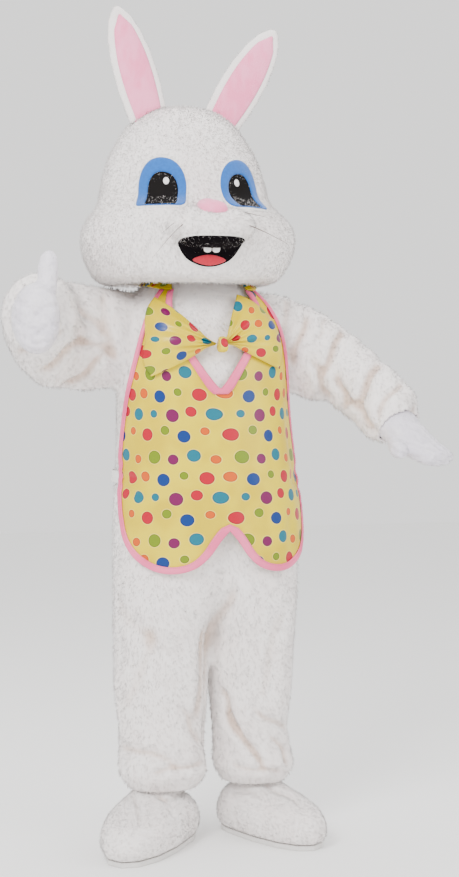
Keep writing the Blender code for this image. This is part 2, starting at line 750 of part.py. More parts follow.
def head_form(name, grow, parent):
    """A solid form of the whole head, for cutting the pieces that butt against it."""
    rings = []
    for ring in head_rows(-grow)[:-1]:
        loop = []
        for i in range(2 * HEAD_COLUMNS):
            angle = math.pi * i / HEAD_COLUMNS
            in_front = math.cos(angle) > 0
            depth, squareness = (ring.front, ring.squareness) if in_front else (ring.back, SQUARENESS)
            across = ring.half_width * squared(math.sin(angle), squareness)
            deep = depth * squared(math.cos(angle), squareness)
            loop.append(Vector((across, -ring.forward - deep, ring.height)))
        rings.append(loop)
    rings.append([point + Vector((0, 0, 0.001)) for point in rings[-1]])
    return body(name, None, rings, parent, cutter=True)


def face_height(height):
    """The head's ring at a height, for placing the face."""
    low, high = 0.0, 1.0
    for _ in range(24):
        middle = (low + high) / 2
        if at(HEAD_RINGS, middle).height < height:
            low = middle
        else:
            high = middle
    return at(HEAD_RINGS, low)


def face_point(reach, height, lift):
    """A point on the face. reach is the distance round from the middle of the face, + to the left."""
    ring = face_height(height)
    angle = reach / FACE_RADIUS
    across = (ring.half_width + lift) * squared(math.sin(angle), ring.squareness)
    forward = (ring.front + lift) * squared(math.cos(angle), ring.squareness)
    return Vector((across, -ring.forward - forward, height))


# The face: padded and felt patches on the head's surface, each an outline about its middle
Outline = namedtuple("Outline", "turn x z")
EYE_BLUE = (
    Outline(0.00, 0.0560, -0.0570),
    Outline(0.07, 0.0605, -0.0300),
    Outline(0.14, 0.0617, 0.0000),
    Outline(0.22, 0.0530, 0.0300),
    Outline(0.30, 0.0320, 0.0505),
    Outline(0.375, 0.0000, 0.0575),
    Outline(0.45, -0.0320, 0.0505),
    Outline(0.53, -0.0530, 0.0300),
    Outline(0.61, -0.0617, 0.0000),
    Outline(0.68, -0.0605, -0.0300),
    Outline(0.75, -0.0560, -0.0570),
    Outline(0.81, -0.0300, -0.0585),
    Outline(0.875, 0.0000, -0.0590),
    Outline(0.94, 0.0300, -0.0585),
    Outline(1.00, 0.0560, -0.0570),
)
EYE_REACH = 0.107
EYE_HEIGHT = 1.552
MOUTH = (
    Outline(0.00, 0.051, 0.026),
    Outline(0.25, 0.000, 0.036),
    Outline(0.50, -0.051, 0.026),
    Outline(0.62, -0.038, -0.012),
    Outline(0.75, 0.000, -0.030),
    Outline(0.88, 0.038, -0.012),
    Outline(1.00, 0.051, 0.026),
)
TONGUE = (
    Outline(0.00, 0.027, -0.001),
    Outline(0.25, 0.000, 0.011),
    Outline(0.50, -0.027, -0.001),
    Outline(0.75, 0.000, -0.013),
    Outline(1.00, 0.027, -0.001),
)
TOOTH = (
    Outline(0.000, 0.0064, 0.000),
    Outline(0.125, 0.0062, 0.013),
    Outline(0.250, 0.0000, 0.014),
    Outline(0.375, -0.0062, 0.013),
    Outline(0.500, -0.0064, 0.000),
    Outline(0.625, -0.0052, -0.009),
    Outline(0.750, 0.0000, -0.012),
    Outline(0.875, 0.0052, -0.009),
    Outline(1.000, 0.0064, 0.000),
)
MUZZLE_MIDDLE = (0.0, 1.447)
MUZZLE_WIDE = 0.073
MUZZLE_TALL = 0.046
MUZZLE_RISE = 0.064


def ellipse_outline(wide, tall):
    return [Outline(i / 16, wide * math.cos(i * math.pi / 8), tall * math.sin(i * math.pi / 8)) for i in range(17)]


def patch(name, material, outline, middle, base, edge, rise, parent, hole=None, rows=3, sides=20, cutter=None):
    """A patch on the face, from its middle (or a hole) to its outline, with a rounded top."""
    outer, inner = [], []
    for row in range(rows + 1):
        share = row / rows
        share = share * (2 - share) if hole is None else share
        line_out, line_in = [], []
        for side in range(sides):
            rim = at(outline, side / sides)
            x, z = rim.x, rim.z
            if hole:
                inside = at(hole, side / sides)
                x, z = inside.x + (rim.x - inside.x) * share, inside.z + (rim.z - inside.z) * share
                dome = 1.0
            else:
                x, z = x * share, z * share
                dome = math.sqrt(max(0.0, 1 - share**2))
            reach, height = middle[0] + x, middle[1] + z
            under = base(reach, height) if callable(base) else base
            line_out.append(face_point(reach, height, under + edge + rise * dome))
            line_in.append(face_point(reach, height, under))
        outer.append(line_out)
        inner.append(line_in)
    return plate(name, material, outer, inner, parent, wrap=True)


def muzzle_lift(reach, height):
    """How far the top of the muzzle stands off the face."""
    share = math.hypot((reach - MUZZLE_MIDDLE[0]) / MUZZLE_WIDE, (height - MUZZLE_MIDDLE[1]) / MUZZLE_TALL)
    return 0.006 + 0.003 + MUZZLE_RISE * math.sqrt(max(0.0, 1 - share**2))


def build_face(colours, head_front, parent):
    plush, pink, blue, mesh, white, black, red = colours
    patch("muzzle", plush, ellipse_outline(MUZZLE_WIDE, MUZZLE_TALL), MUZZLE_MIDDLE, 0.0020, 0.006, MUZZLE_RISE,
          parent, rows=4, sides=20)
    form = patch("muzzle_form", None, ellipse_outline(MUZZLE_WIDE + 0.0008, MUZZLE_TALL + 0.0008), MUZZLE_MIDDLE,
                 -0.010, 0.018, MUZZLE_RISE + 0.0006, parent, rows=4, sides=20)
    form.hide_render = True
    nose = patch("nose", pink, ellipse_outline(0.026, 0.018), (0.0, 1.492), 0.0014, 0.042, 0.028, parent, sides=16)
    cut(nose, form)
    for word, side in (("right", -1), ("left", 1)):
        middle = (side * EYE_REACH, EYE_HEIGHT)
        pupil = [Outline(o.turn, side * -0.004 + o.x * 0.62, -0.0143 + o.z * 0.67) for o in EYE_BLUE]
        rim = [Outline(o.turn, side * -0.004 + o.x * 0.633, -0.0143 + o.z * 0.686) for o in EYE_BLUE]
        patch(f"eye_{word}", blue, EYE_BLUE, middle, 0.0022, 0.004, 0.0, parent, hole=rim, rows=1, sides=24)
        patch(f"eye_mesh_{word}", mesh, pupil, middle, 0.0026, 0.0012, 0.0, parent, rows=1, sides=24)
        patch(f"eye_glint_{word}", white, ellipse_outline(0.0070, 0.0085), (side * 0.092, 1.554),
              0.0048, 0.0015, 0.0, parent, rows=1, sides=12)
        tube = []
        for lift in (0.02, -0.06):
            tube.append([face_point(middle[0] + o.x * 0.9, middle[1] - 0.001 + o.z * 0.9, lift)
                         for o in [at(pupil, i / 16) for i in range(16)]])
        cut(head_front, body(f"eye_opening_{word}", None, tube, parent, cutter=True))
    mouth = patch("mouth", black, MOUTH, (0.0, 1.388), 0.0020, FELT_WALL, 0.0, parent, rows=2, sides=20)
    cut(mouth, form)
    patch("tongue", red, TONGUE, (0.0, 1.3745), 0.0060, FELT_WALL, 0.0, parent, rows=1, sides=16)
    for word, side in (("right", -1), ("left", 1)):
        tooth = patch(f"tooth_{word}", white, TOOTH, (side * 0.0070, 1.4000), 0.0060, 0.009, 0.0, parent, rows=1,
                      sides=12)
        cut(tooth, form)


def build_whiskers(material, parent):
    """Two bendy whiskers on each side of the muzzle."""
    for word, side, height, drop in (("right_high", -1, 1.462, -0.05), ("right_low", -1, 1.436, -0.075),
                                     ("left_high", 1, 1.462, -0.02), ("left_low", 1, 1.436, -0.05)):
        reach = side * 0.046
        start = face_point(reach, height, muzzle_lift(reach, height) + 0.0035)
        rings = []
        for share in (0.0, 0.35, 0.7, 1.0):
            centre = start + Vector((side * 0.085 * share, -0.012 * share, drop * share**1.6))
            radius = 0.0013 - 0.0004 * share
            rings.append([centre + Vector((0, radius * math.cos(a), radius * math.sin(a)))
                          for a in [2 * math.pi * i / 6 for i in range(6)]])
        body(f"whisker_{word}", material, rings, parent)


# Ears: a padded back with a pink pad on its front
EarRing = namedtuple("EarRing", "share half_width thick")
EAR_RINGS = (
    EarRing(-0.10, 0.034, 0.034),
    EarRing(0.00, 0.040, 0.036),
    EarRing(0.20, 0.049, 0.036),
    EarRing(0.42, 0.054, 0.034),
    EarRing(0.62, 0.052, 0.031),
    EarRing(0.80, 0.042, 0.027),
    EarRing(0.91, 0.029, 0.022),
    EarRing(0.975, 0.014, 0.016),
    EarRing(1.00, 0.004, 0.008),
)


def build_ear(word, base, lean, length, plush, pink, form, parent):
    """One ear, leaning out from the top of the head."""
    stem = anchor(f"ear_{word}_stem", base, (math.radians(6), lean, 0), parent)
    rings = []
    for ring in EAR_RINGS:
        line = []
        for i in range(18):
            angle = 2 * math.pi * i / 18
            x = ring.half_width * math.cos(angle)
            y = ring.thick * max(0.0, math.sin(angle)) - 0.006 * max(0.0, -math.sin(angle))
            line.append(Vector((x, y, ring.share * length)))
        rings.append(line)
    back = body(f"ear_{word}", plush, rings, stem)
    cut(back, form)
    outer, inner = [], []
    for share in (0.06, 0.20, 0.36, 0.52, 0.68, 0.80, 0.88, 0.93):
        width = at(EAR_RINGS, share).half_width - 0.015
        line_out, line_in = [], []
        for across in spread(-1, 1, 6):
            x = across * width
            below = 0.006 * math.sqrt(max(0.0, 1 - (x / at(EAR_RINGS, share).half_width) ** 2)) + 0.0012
            line_in.append(Vector((x, -below, share * length)))
            line_out.append(Vector((x, -below - 0.0015 - 0.004 * (1 - across**2), share * length)))
        outer.append(line_out)
        inner.append(line_in)
    pad = plate(f"ear_inner_{word}", pink, outer, inner, stem)
    cut(pad, form)


# Gloves: plush mitten shells with stitched fingers, and a thumb let into each
GloveRing = namedtuple("GloveRing", "along x y z half_high half_deep")
RIGHT_GLOVE = (
    GloveRing(0.000, -0.446, -0.120, 1.240, 0.050, 0.044),
    GloveRing(0.040, -0.448, -0.160, 1.241, 0.047, 0.042),
    GloveRing(0.075, -0.455, -0.195, 1.238, 0.064, 0.050),
    GloveRing(0.105, -0.459, -0.225, 1.236, 0.078, 0.054),
    GloveRing(0.135, -0.462, -0.255, 1.235, 0.078, 0.053),
    GloveRing(0.155, -0.464, -0.275, 1.235, 0.067, 0.043),
    GloveRing(0.165, -0.465, -0.284, 1.235, 0.048, 0.028),
    GloveRing(0.168, -0.465, -0.287, 1.235, 0.001, 0.001),
)
RIGHT_THUMB = (
    GloveRing(0.000, -0.440, -0.235, 1.270, 0.024, 0.024),
    GloveRing(0.040, -0.437, -0.238, 1.310, 0.024, 0.024),
    GloveRing(0.075, -0.433, -0.236, 1.345, 0.0235, 0.0235),
    GloveRing(0.100, -0.430, -0.232, 1.372, 0.019, 0.019),
    GloveRing(0.112, -0.429, -0.231, 1.384, 0.010, 0.010),
    GloveRing(0.115, -0.429, -0.231, 1.387, 0.001, 0.001),
)
LEFT_GLOVE = (
    GloveRing(0.000, 0.400, -0.160, 1.022, 0.048, 0.056),
    GloveRing(0.040, 0.414, -0.194, 0.996, 0.044, 0.056),
    GloveRing(0.075, 0.426, -0.222, 0.974, 0.038, 0.058),
    GloveRing(0.110, 0.441, -0.252, 0.952, 0.033, 0.059),
    GloveRing(0.145, 0.457, -0.280, 0.934, 0.029, 0.056),
    GloveRing(0.175, 0.471, -0.304, 0.922, 0.026, 0.052),
    GloveRing(0.192, 0.479, -0.318, 0.917, 0.020, 0.044),
    GloveRing(0.198, 0.482, -0.323, 0.915, 0.001, 0.001),
)
LEFT_THUMB = (
    GloveRing(0.000, 0.404, -0.236, 0.965, 0.021, 0.022),
    GloveRing(0.040, 0.386, -0.268, 0.950, 0.021, 0.022),
    GloveRing(0.070, 0.380, -0.294, 0.938, 0.020, 0.021),
    GloveRing(0.090, 0.382, -0.312, 0.930, 0.013, 0.014),
    GloveRing(0.094, 0.383, -0.316, 0.928, 0.001, 0.001),
)
RIGHT_GLOVE_FOLDS = (
    Fold(0.150, 35, 0.030, 14, 0.005),
    Fold(0.150, 0, 0.030, 14, 0.006),
    Fold(0.150, -35, 0.030, 14, 0.005),
    Fold(0.150, 180, 0.030, 20, 0.005),
)
LEFT_GLOVE_FOLDS = (
    Fold(0.175, 60, 0.045, 10, 0.007),
    Fold(0.175, 90, 0.045, 10, 0.008),
    Fold(0.175, 120, 0.045, 10, 0.007),
    Fold(0.175, -75, 0.045, 12, 0.006),
    Fold(0.175, -105, 0.045, 12, 0.006),
)


def glove(name, material, table, folds, thumb_table, sides, parent):
    """A glove's hollow shell, open at the wrist, and the thumb that is let into it."""
    last = table[-1].along
    places = [ring.along for ring in table[:-1]]
    places = sorted(set(places))
    grids = []
    for inset in (0.0, GLOVE_WALL):
        rings = tube_rings(table, places, sides, inset, folds)
        tip = at(table, last)
        centre = Vector((tip.x, tip.y, tip.z))
        before = sum(rings[-1], Vector()) / sides
        centre -= (centre - before).normalized() * inset
        rings.append([centre.copy() for _ in range(sides)])
        grids.append(rings)
    shell = plate(name, material, grids[0], grids[1], parent, wrap=True)
    form_rings = tube_rings(table, places, sides, -0.0006, folds)
    form = body(f"{name}_form", None, form_rings, parent, cutter=True)
    thumb_places = [ring.along for ring in thumb_table[:-1]]
    thumb_grids = []
    for inset in (0.0, GLOVE_WALL):
        rings = tube_rings(thumb_table, thumb_places, 12, inset)
        tip = thumb_table[-1]
        centre = Vector((tip.x, tip.y, tip.z))
        before = sum(rings[-1], Vector()) / 12
        centre -= (centre - before).normalized() * inset
        rings.append([centre.copy() for _ in range(12)])
        thumb_grids.append(rings)
    thumb = plate(f"{name}_thumb", material, thumb_grids[0], thumb_grids[1], parent, wrap=True)
    cut(thumb, form)
    hollow = body(f"{name}_thumb_hollow", None, tube_rings(thumb_table, thumb_places[:2], 12, GLOVE_WALL),
                  parent, cutter=True)
    cut(shell, hollow)


# Boots: plush boot covers on flat soles
BootRing = namedtuple("BootRing", "height heel toe half_width")
BOOT_RINGS = (
    BootRing(0.0124, 0.092, 0.270, 0.084),
    BootRing(0.035, 0.100, 0.284, 0.093),
    BootRing(0.060, 0.100, 0.281, 0.093),
    BootRing(0.082, 0.093, 0.255, 0.086),
    BootRing(0.097, 0.082, 0.190, 0.075),
    BootRing(0.109, 0.070, 0.104, 0.062),
    BootRing(0.121, 0.058, 0.062, 0.056),
    BootRing(0.142, 0.054, 0.055, 0.053),
    BootRing(0.152, 0.054, 0.054, 0.053),
)
SOLE_THICK = 0.012


def boot_ring(row, inset, sides=16):
    """A ring round the foot, longer toward the toe."""
    ring = []
    for i in range(sides):
        angle = 2 * math.pi * i / sides
        length = (row.toe if math.sin(angle) > 0 else row.heel) - inset
        wide = row.half_width - inset
        ring.append(Vector((wide * squared(math.cos(angle)), -length * squared(math.sin(angle)), row.height)))
    return ring


def build_boot(word, ankle, turn, long, wide, plush, sole_material, parent):
    """A boot cover, its foot drawn out by long and wide, but not its shaft."""
    stem = anchor(f"boot_{word}_stem", ankle, (0, 0, turn), parent)
    rows = []
    for row in BOOT_RINGS:
        share = min(1.0, max(0.0, (0.121 - row.height) / 0.04))
        rows.append(
            row._replace(toe=row.toe * (1 + (long - 1) * share), half_width=row.half_width * (1 + (wide - 1) * share))
        )
    outer = [boot_ring(row, 0.0) for row in rows]
    inner = [boot_ring(row, 0.005) for row in rows]
    plate(f"boot_{word}", plush, outer, inner, stem, wrap=True)
    low = rows[0]
    edge = [boot_ring(low._replace(height=h), i) for h, i in ((0.0, 0.002), (0.003, 0.0), (SOLE_THICK, 0.0))]
    body(f"boot_sole_{word}", sole_material, edge, stem)


# Zip: tape, slider and pull tab on the centre back seam
ZIP_BOTTOM = 0.80
ZIP_TOP = 1.308
SLIDER_HEIGHT = 1.286
SLIDER_TALL = 0.016


def back_y(height, lift=0.0):
    """How far back the jumpsuit's surface is at the centre seam."""
    ring = at(SUIT_RINGS, height)
    return ring.y + ring.half_depth + lift


def block(name, material, centre, size, parent):
    """A plain box."""
    corners = [Vector((x, y, z)) for z in (-0.5, 0.5) for x, y in ((-0.5, -0.5), (0.5, -0.5), (0.5, 0.5), (-0.5, 0.5))]
    points = [Vector(centre) + Vector((c.x * size[0], c.y * size[1], c.z * size[2])) for c in corners]
    faces = [[0, 1, 2, 3], [4, 5, 6, 7], [0, 1, 5, 4], [1, 2, 6, 5], [2, 3, 7, 6], [3, 0, 4, 7]]
    return add_object(name, material, points, faces, parent, smooth=False)


def build_zip(tape, metal, parent):
    outer, inner = [], []
    for height in spread(ZIP_BOTTOM, ZIP_TOP, 12):
        sway = at(SUIT_RINGS, height).sway
        row_out, row_in = [], []
        for x in (-0.014, 0.0, 0.014):
            row_out.append(Vector((sway + x, back_y(height, 0.0026), height)))
            row_in.append(Vector((sway + x, back_y(height, 0.0008), height)))
        outer.append(row_out)
        inner.append(row_in)
    plate("zip_tape", tape, outer, inner, parent)
    sway = at(SUIT_RINGS, SLIDER_HEIGHT).sway
    y = max(back_y(SLIDER_HEIGHT - SLIDER_TALL / 2), back_y(SLIDER_HEIGHT)) + 0.0034
    block("zip_slider", metal, (sway, y + 0.0022, SLIDER_HEIGHT), (0.011, 0.0040, SLIDER_TALL), parent)
    hinge_y = y + 0.0075
    for word, x in (("a", -0.0042), ("b", 0.0042)):
        block(f"zip_slider_lug_{word}", metal, (sway + x, y + 0.0071, SLIDER_HEIGHT), (0.0016, 0.0050, 0.008), parent)
    swing = anchor("zip_pull_swing", (sway, hinge_y, SLIDER_HEIGHT), parent=parent)
    block("zip_pull", metal, (0, 0, -0.0125), (0.0056, 0.0016, 0.029), swing)


def build_vest(satin, pink, elastic, parent):
    vest_front("vest_front", satin, parent)
    outline = vest_outline()
    binding("vest_binding_outer", pink, outline, inward_of(outline, 1), parent)
    neck = [(v_reach(h), h) for h in spread(VEST_TOP, V_BOTTOM, 7)]
    neck += [(-r, h) for r, h in reversed(neck[:-1])]
    binding("vest_binding_neck", pink, neck, inward_of(neck, -1), parent)
    neck_strap("neck_strap", satin, parent)
    waist_strap("waist_strap", elastic, parent)
    bow_half("bow_right", satin, RIGHT_BOW, parent)
    bow_half("bow_left", satin, LEFT_BOW, parent)
    bow_knot("bow_knot", satin, parent)


def build_head(plush, pink, blue, mesh, white, black, red, dark, costume):
    parent = anchor("head_stem", HEAD_PLACE, (0, 0, HEAD_TURN), costume)
    front = head_half("head_front", plush, 1, parent)
    head_half("head_back", plush, -1, parent)
    form = head_form("head_form", 0.0015, parent)
    build_face((plush, pink, blue, mesh, white, black, red), front, parent)
    build_whiskers(dark, parent)
    build_ear("right", (-0.066, 0.012, 1.665), math.radians(-19), 0.325, plush, pink, form, parent)
    build_ear("left", (0.066, 0.012, 1.668), math.radians(30), 0.312, plush, pink, form, parent)


def main():
    clear_scene()
    plush = finish("white_plush", (0.86, 0.83, 0.81), 0.95)
    glove_plush = finish("glove_plush", (0.84, 0.81, 0.86), 0.95)
    pink_plush = finish("pink_plush", (0.97, 0.60, 0.67), 0.95)
    satin = finish("dotted_satin", (0.90, 0.74, 0.20), 0.35)
    pink = finish("pink_satin", (0.93, 0.50, 0.60), 0.45)
    elastic = finish("white_elastic", (0.85, 0.84, 0.82), 0.8)
    blue = finish("blue_felt", (0.03, 0.27, 0.62), 0.7)
    mesh = finish("black_mesh", (0.02, 0.02, 0.02), 0.8)
    white = finish("white_felt", (0.92, 0.90, 0.86), 0.7)
    black = finish("black_felt", (0.02, 0.02, 0.02), 0.9)
    red = finish("red_felt", (0.75, 0.03, 0.08), 0.8)
    dark = finish("whisker_nylon", (0.05, 0.03, 0.02), 0.4)
    rubber = finish("sole_rubber", (0.70, 0.68, 0.66), 0.8)
    tape = finish("zip_tape", (0.84, 0.82, 0.80), 0.8)
    metal = finish("zip_metal", (0.75, 0.75, 0.76), 0.3, 1.0)
    wearer = anchor("wearer", (0, 0, 0))
    costume = anchor("costume", (0, 0, -SHOULDER_HEIGHT), parent=wearer)
    panels = {}
    for side, word in ((-1, "right"), (1, "left")):
        for way, facing in ((1, "front"), (-1, "back")):
            suit_panel(f"leg_{facing}_{word}", plush, side, way, LEG_HEIGHTS, costume)
            suit_panel(f"hip_{facing}_{word}", plush, side, way, HIP_HEIGHTS, costume)
            name = f"trunk_{facing}_{word}"
            panels[facing, side] = suit_panel(name, plush, side, way, TRUNK_HEIGHTS, costume)
    trunk = body("trunk_form", None, trunk_rings(SEAM), costume, cutter=True)
    right_places = spread(0, 0.43, 9) + [0.475, 0.495, 0.505]
    left_places = spread(0, 0.10, 2) + spread(0.13, 0.35, 11) + spread(0.39, 0.475, 2) + [0.49]
    sleeve("sleeve_right", plush, RIGHT_ARM, RIGHT_ARM_FOLDS, right_places, costume, trunk,
           [panels["front", -1], panels["back", -1]])
    sleeve("sleeve_left", plush, LEFT_ARM, LEFT_ARM_FOLDS, left_places, costume, trunk,
           [panels["front", 1], panels["back", 1]])
    neck_band("neck_band", plush, costume)
    build_vest(satin, pink, elastic, costume)
    build_head(plush, pink_plush, blue, mesh, white, black, red, dark, costume)
    glove("glove_right", glove_plush, RIGHT_GLOVE, RIGHT_GLOVE_FOLDS, RIGHT_THUMB, 20, costume)
    glove("glove_left", glove_plush, LEFT_GLOVE, LEFT_GLOVE_FOLDS, LEFT_THUMB, 24, costume)
    hem = SUIT_RINGS[0]
    for word, side, turn, slip, long, wide in (
        ("right", -1, -32, -0.012, 1.08, 1.07),
        ("left", 1, 13, 0.008, 0.955, 1.0),
    ):
        ankle = (hem.sway + side * hem.apart + slip, hem.y + step_of(side, hem.height), 0)
        build_boot(word, ankle, math.radians(turn), long, wide, plush, rubber, costume)
    build_zip(tape, metal, costume)


main()
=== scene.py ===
"""Looks of the rabbit mascot costume: plush, satin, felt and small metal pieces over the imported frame.

Sizes are in metres in the row frame, whose origin is 1.30 m above the soles. The costume faces -Y.
"""
import math
from collections import namedtuple

import bmesh
import bpy
import numpy as np
from mathutils import Matrix, Vector
from mathutils.bvhtree import BVHTree
from mathutils.kdtree import KDTree


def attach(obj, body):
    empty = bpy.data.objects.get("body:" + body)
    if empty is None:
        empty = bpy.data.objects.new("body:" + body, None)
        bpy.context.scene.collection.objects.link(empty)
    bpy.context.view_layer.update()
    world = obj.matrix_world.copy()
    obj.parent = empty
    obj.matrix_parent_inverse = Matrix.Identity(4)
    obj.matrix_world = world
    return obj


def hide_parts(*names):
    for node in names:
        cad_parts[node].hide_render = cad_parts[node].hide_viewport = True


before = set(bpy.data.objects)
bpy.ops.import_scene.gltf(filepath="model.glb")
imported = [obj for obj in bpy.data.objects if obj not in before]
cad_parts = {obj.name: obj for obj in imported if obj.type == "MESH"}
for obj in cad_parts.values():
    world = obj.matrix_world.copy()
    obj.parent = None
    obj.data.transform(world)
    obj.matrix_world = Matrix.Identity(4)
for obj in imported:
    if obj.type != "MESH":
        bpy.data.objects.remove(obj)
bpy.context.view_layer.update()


# Camera
# At chest height, 4.5 m in front, a little to the costume's right, as a studio picture is taken.
FLOOR = -1.30
EYE = Vector((-1.316, -4.303, -0.20))
AHEAD = Vector((0.292, 0.956, 0.0))
ACROSS = Vector((0.956, -0.292, 0.0))
camera_data = bpy.data.cameras.new("camera")
camera_data.sensor_fit = "VERTICAL"
camera_data.sensor_height = 36
camera_data.lens = 76.97
camera = bpy.data.objects.new("camera", camera_data)
camera.location = EYE
AIM_ACROSS = 0.0136
AIM_DOWN = 0.0312
aim = AHEAD + ACROSS * AIM_ACROSS - Vector((0, 0, AIM_DOWN))
camera.rotation_euler = aim.to_track_quat("-Z", "Y").to_euler()
bpy.context.scene.collection.objects.link(camera)
bpy.context.scene.camera = camera


EYE_DISTANCE = 4.5
PIXELS_AT_ONE_METRE = 1875
ORIGIN_ACROSS = 204
ORIGIN_DOWN = 380


def seen_at(points):
    """Where points fall in the picture, in pixels of a frame 459 wide and 877 high."""
    points = np.asarray(points, float)
    depth = EYE_DISTANCE + points @ np.array(AHEAD)
    across = ORIGIN_ACROSS + PIXELS_AT_ONE_METRE * (points @ np.array(ACROSS)) / depth
    down = ORIGIN_DOWN + PIXELS_AT_ONE_METRE * (EYE.z - points[:, 2]) / depth
    return across, down


# Studio
# A plain pale floor under a white sky. One large soft lamp is high on the left, a weaker one is on the right,
# and a third lights the top from behind.
FLOOR_REACH = 9
floor_corners = [(x * FLOOR_REACH, y * FLOOR_REACH, FLOOR) for x, y in ((-1, -1), (1, -1), (1, 1), (-1, 1))]
floor_mesh = bpy.data.meshes.new("floor")
floor_mesh.from_pydata(floor_corners, [], [(0, 1, 2, 3)])
floor = bpy.data.objects.new("floor", floor_mesh)
bpy.context.scene.collection.objects.link(floor)
world = bpy.data.worlds.new("studio")
world.use_nodes = True
world.node_tree.nodes["Background"].inputs["Color"].default_value = (1.0, 0.99, 0.98, 1)
world.node_tree.nodes["Background"].inputs["Strength"].default_value = 1.45
bpy.context.scene.world = world
Lamp = namedtuple("Lamp", "name x y z size power")
LAMPS = (
    Lamp("key", -2.8, -3.3, 2.2, 1.7, 250),
    Lamp("fill", 3.0, -3.2, 1.2, 2.4, 75),
    Lamp("top", 0.3, 0.8, 3.2, 2.4, 70),
)
for row in LAMPS:
    lamp_data = bpy.data.lights.new(row.name, "AREA")
    lamp_data.size = row.size
    lamp_data.energy = row.power
    lamp = bpy.data.objects.new(row.name, lamp_data)
    lamp.location = (row.x, row.y, row.z)
    lamp.rotation_euler = (Vector((0, 0, -0.2)) - lamp.location).to_track_quat("-Z", "Y").to_euler()
    bpy.context.scene.collection.objects.link(lamp)


class Wire:
    """One shader socket, on which + - and * work as nodes."""

    def __init__(self, surface, socket):
        self.surface = surface
        self.socket = socket

    def combine(self, operation, other, turned=False):
        first, second = (other, self) if turned else (self, other)
        kind = "ShaderNodeVectorMath" if self.socket.type == "VECTOR" else "ShaderNodeMath"
        return self.surface.node(kind, {0: first, 1: second}, operation=operation)

    def __add__(self, other):
        return self.combine("ADD", other)

    def __radd__(self, other):
        return self.combine("ADD", other, True)

    def __sub__(self, other):
        return self.combine("SUBTRACT", other)

    def __rsub__(self, other):
        return self.combine("SUBTRACT", other, True)

    def __mul__(self, other):
        return self.combine("MULTIPLY", other)

    def __rmul__(self, other):
        return self.combine("MULTIPLY", other, True)


class Surface:
    """A material under construction around one Principled shader."""

    def __init__(self, name, **constants):
        self.material = bpy.data.materials.new(name)
        self.material.use_nodes = True
        self.tree = self.material.node_tree
        self.shader = self.tree.nodes["Principled BSDF"]
        for key, value in constants.items():
            self.shader.inputs[key.replace("_", " ")].default_value = value

    def node(self, kind, inputs=None, output=0, **settings):
        made = self.tree.nodes.new(kind)
        for key, value in settings.items():
            setattr(made, key, value)
        for key, value in (inputs or {}).items():
            if isinstance(value, Wire):
                self.tree.links.new(value.socket, made.inputs[key])
            else:
                made.inputs[key].default_value = value
        return Wire(self, made.outputs[output])

    def feed(self, name, wire):
        self.tree.links.new(wire.socket, self.shader.inputs[name])

    def own_place(self):
        """Where each point lies in its piece's own space."""
        return self.node("ShaderNodeTexCoord", output="Object")

    def blend(self, share, first, second):
        """A colour between two colours."""
        return self.node("ShaderNodeMix", {"Factor": share, 6: first, 7: second}, output=2, data_type="RGBA")

    def noise(self, place, size, detail=2.0):
        """Noise whose bumps are about size metres across."""
        inputs = {"Vector": place, "Scale": 1 / size, "Detail": detail, "Roughness": 0.5}
        return self.node("ShaderNodeTexNoise", inputs)

    def ramp(self, value, low, high):
        """0 below low, 1 above high, smooth between."""
        inputs = {"Value": value, "From Min": low, "From Max": high}
        return self.node("ShaderNodeMapRange", inputs, interpolation_type="SMOOTHSTEP")

    def bump(self, height, distance, strength=1.0, below=None):
        inputs = {"Height": height, "Distance": distance, "Strength": strength}
        if below:
            inputs["Normal"] = below
        return self.node("ShaderNodeBump", inputs)


def speckled(name, rough, size, first, second):
    """A matt finish whose colour drifts between two, over spots of a size."""
    paint = Surface(name, Roughness=rough)
    paint.feed("Base Color", paint.blend(paint.noise(paint.own_place(), size), first, second))
    return paint


floor_paint = speckled("floor_paint", 0.7, 0.9, (0.93, 0.93, 0.92, 1), (0.95, 0.95, 0.945, 1))
floor_mesh.materials.append(floor_paint.material)


# Jumpsuit
# One-piece suit of white plush, cut as four panels and two sleeves, its seams hidden in the pile.
# It is shown as one skin over the imported panels, gathered by elastic at the cuffs.
PLUSH_PILE = 0.004
SUIT_NODES = sorted(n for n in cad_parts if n.startswith(("trunk_", "hip_", "leg_", "sleeve_")))
AxisPoint = namedtuple("AxisPoint", "x y z")
LEG_AXIS = (
    AxisPoint(0.118, 0.02, -1.18),
    AxisPoint(0.110, 0.01, -0.82),
    AxisPoint(0.098, 0.00, -0.74),
    AxisPoint(0.068, 0.00, -0.64),
    AxisPoint(0.030, 0.00, -0.52),
    AxisPoint(0.010, 0.00, -0.38),
    AxisPoint(0.010, 0.01, 0.06),
)
RIGHT_ARM_AXIS = (
    AxisPoint(-0.105, 0.012, -0.104),
    AxisPoint(-0.238, 0.020, -0.103),
    AxisPoint(-0.308, 0.024, -0.100),
    AxisPoint(-0.364, 0.000, -0.094),
    AxisPoint(-0.402, -0.050, -0.071),
    AxisPoint(-0.425, -0.108, -0.053),
    AxisPoint(-0.448, -0.174, -0.055),
)
LEFT_ARM_AXIS = (
    AxisPoint(0.085, 0.012, -0.080),
    AxisPoint(0.212, 0.004, -0.116),
    AxisPoint(0.286, -0.018, -0.150),
    AxisPoint(0.345, -0.048, -0.186),
    AxisPoint(0.384, -0.104, -0.230),
    AxisPoint(0.405, -0.160, -0.272),
    AxisPoint(0.421, -0.203, -0.309),
)


AXIS_STEPS = 12


def axis_line(table, side=1):
    """Points close together along a line of a table."""
    rows = [Vector((row.x * side, row.y, row.z)) for row in table]
    return [a.lerp(b, i / AXIS_STEPS) for a, b in zip(rows, rows[1:]) for i in range(AXIS_STEPS + 1)]


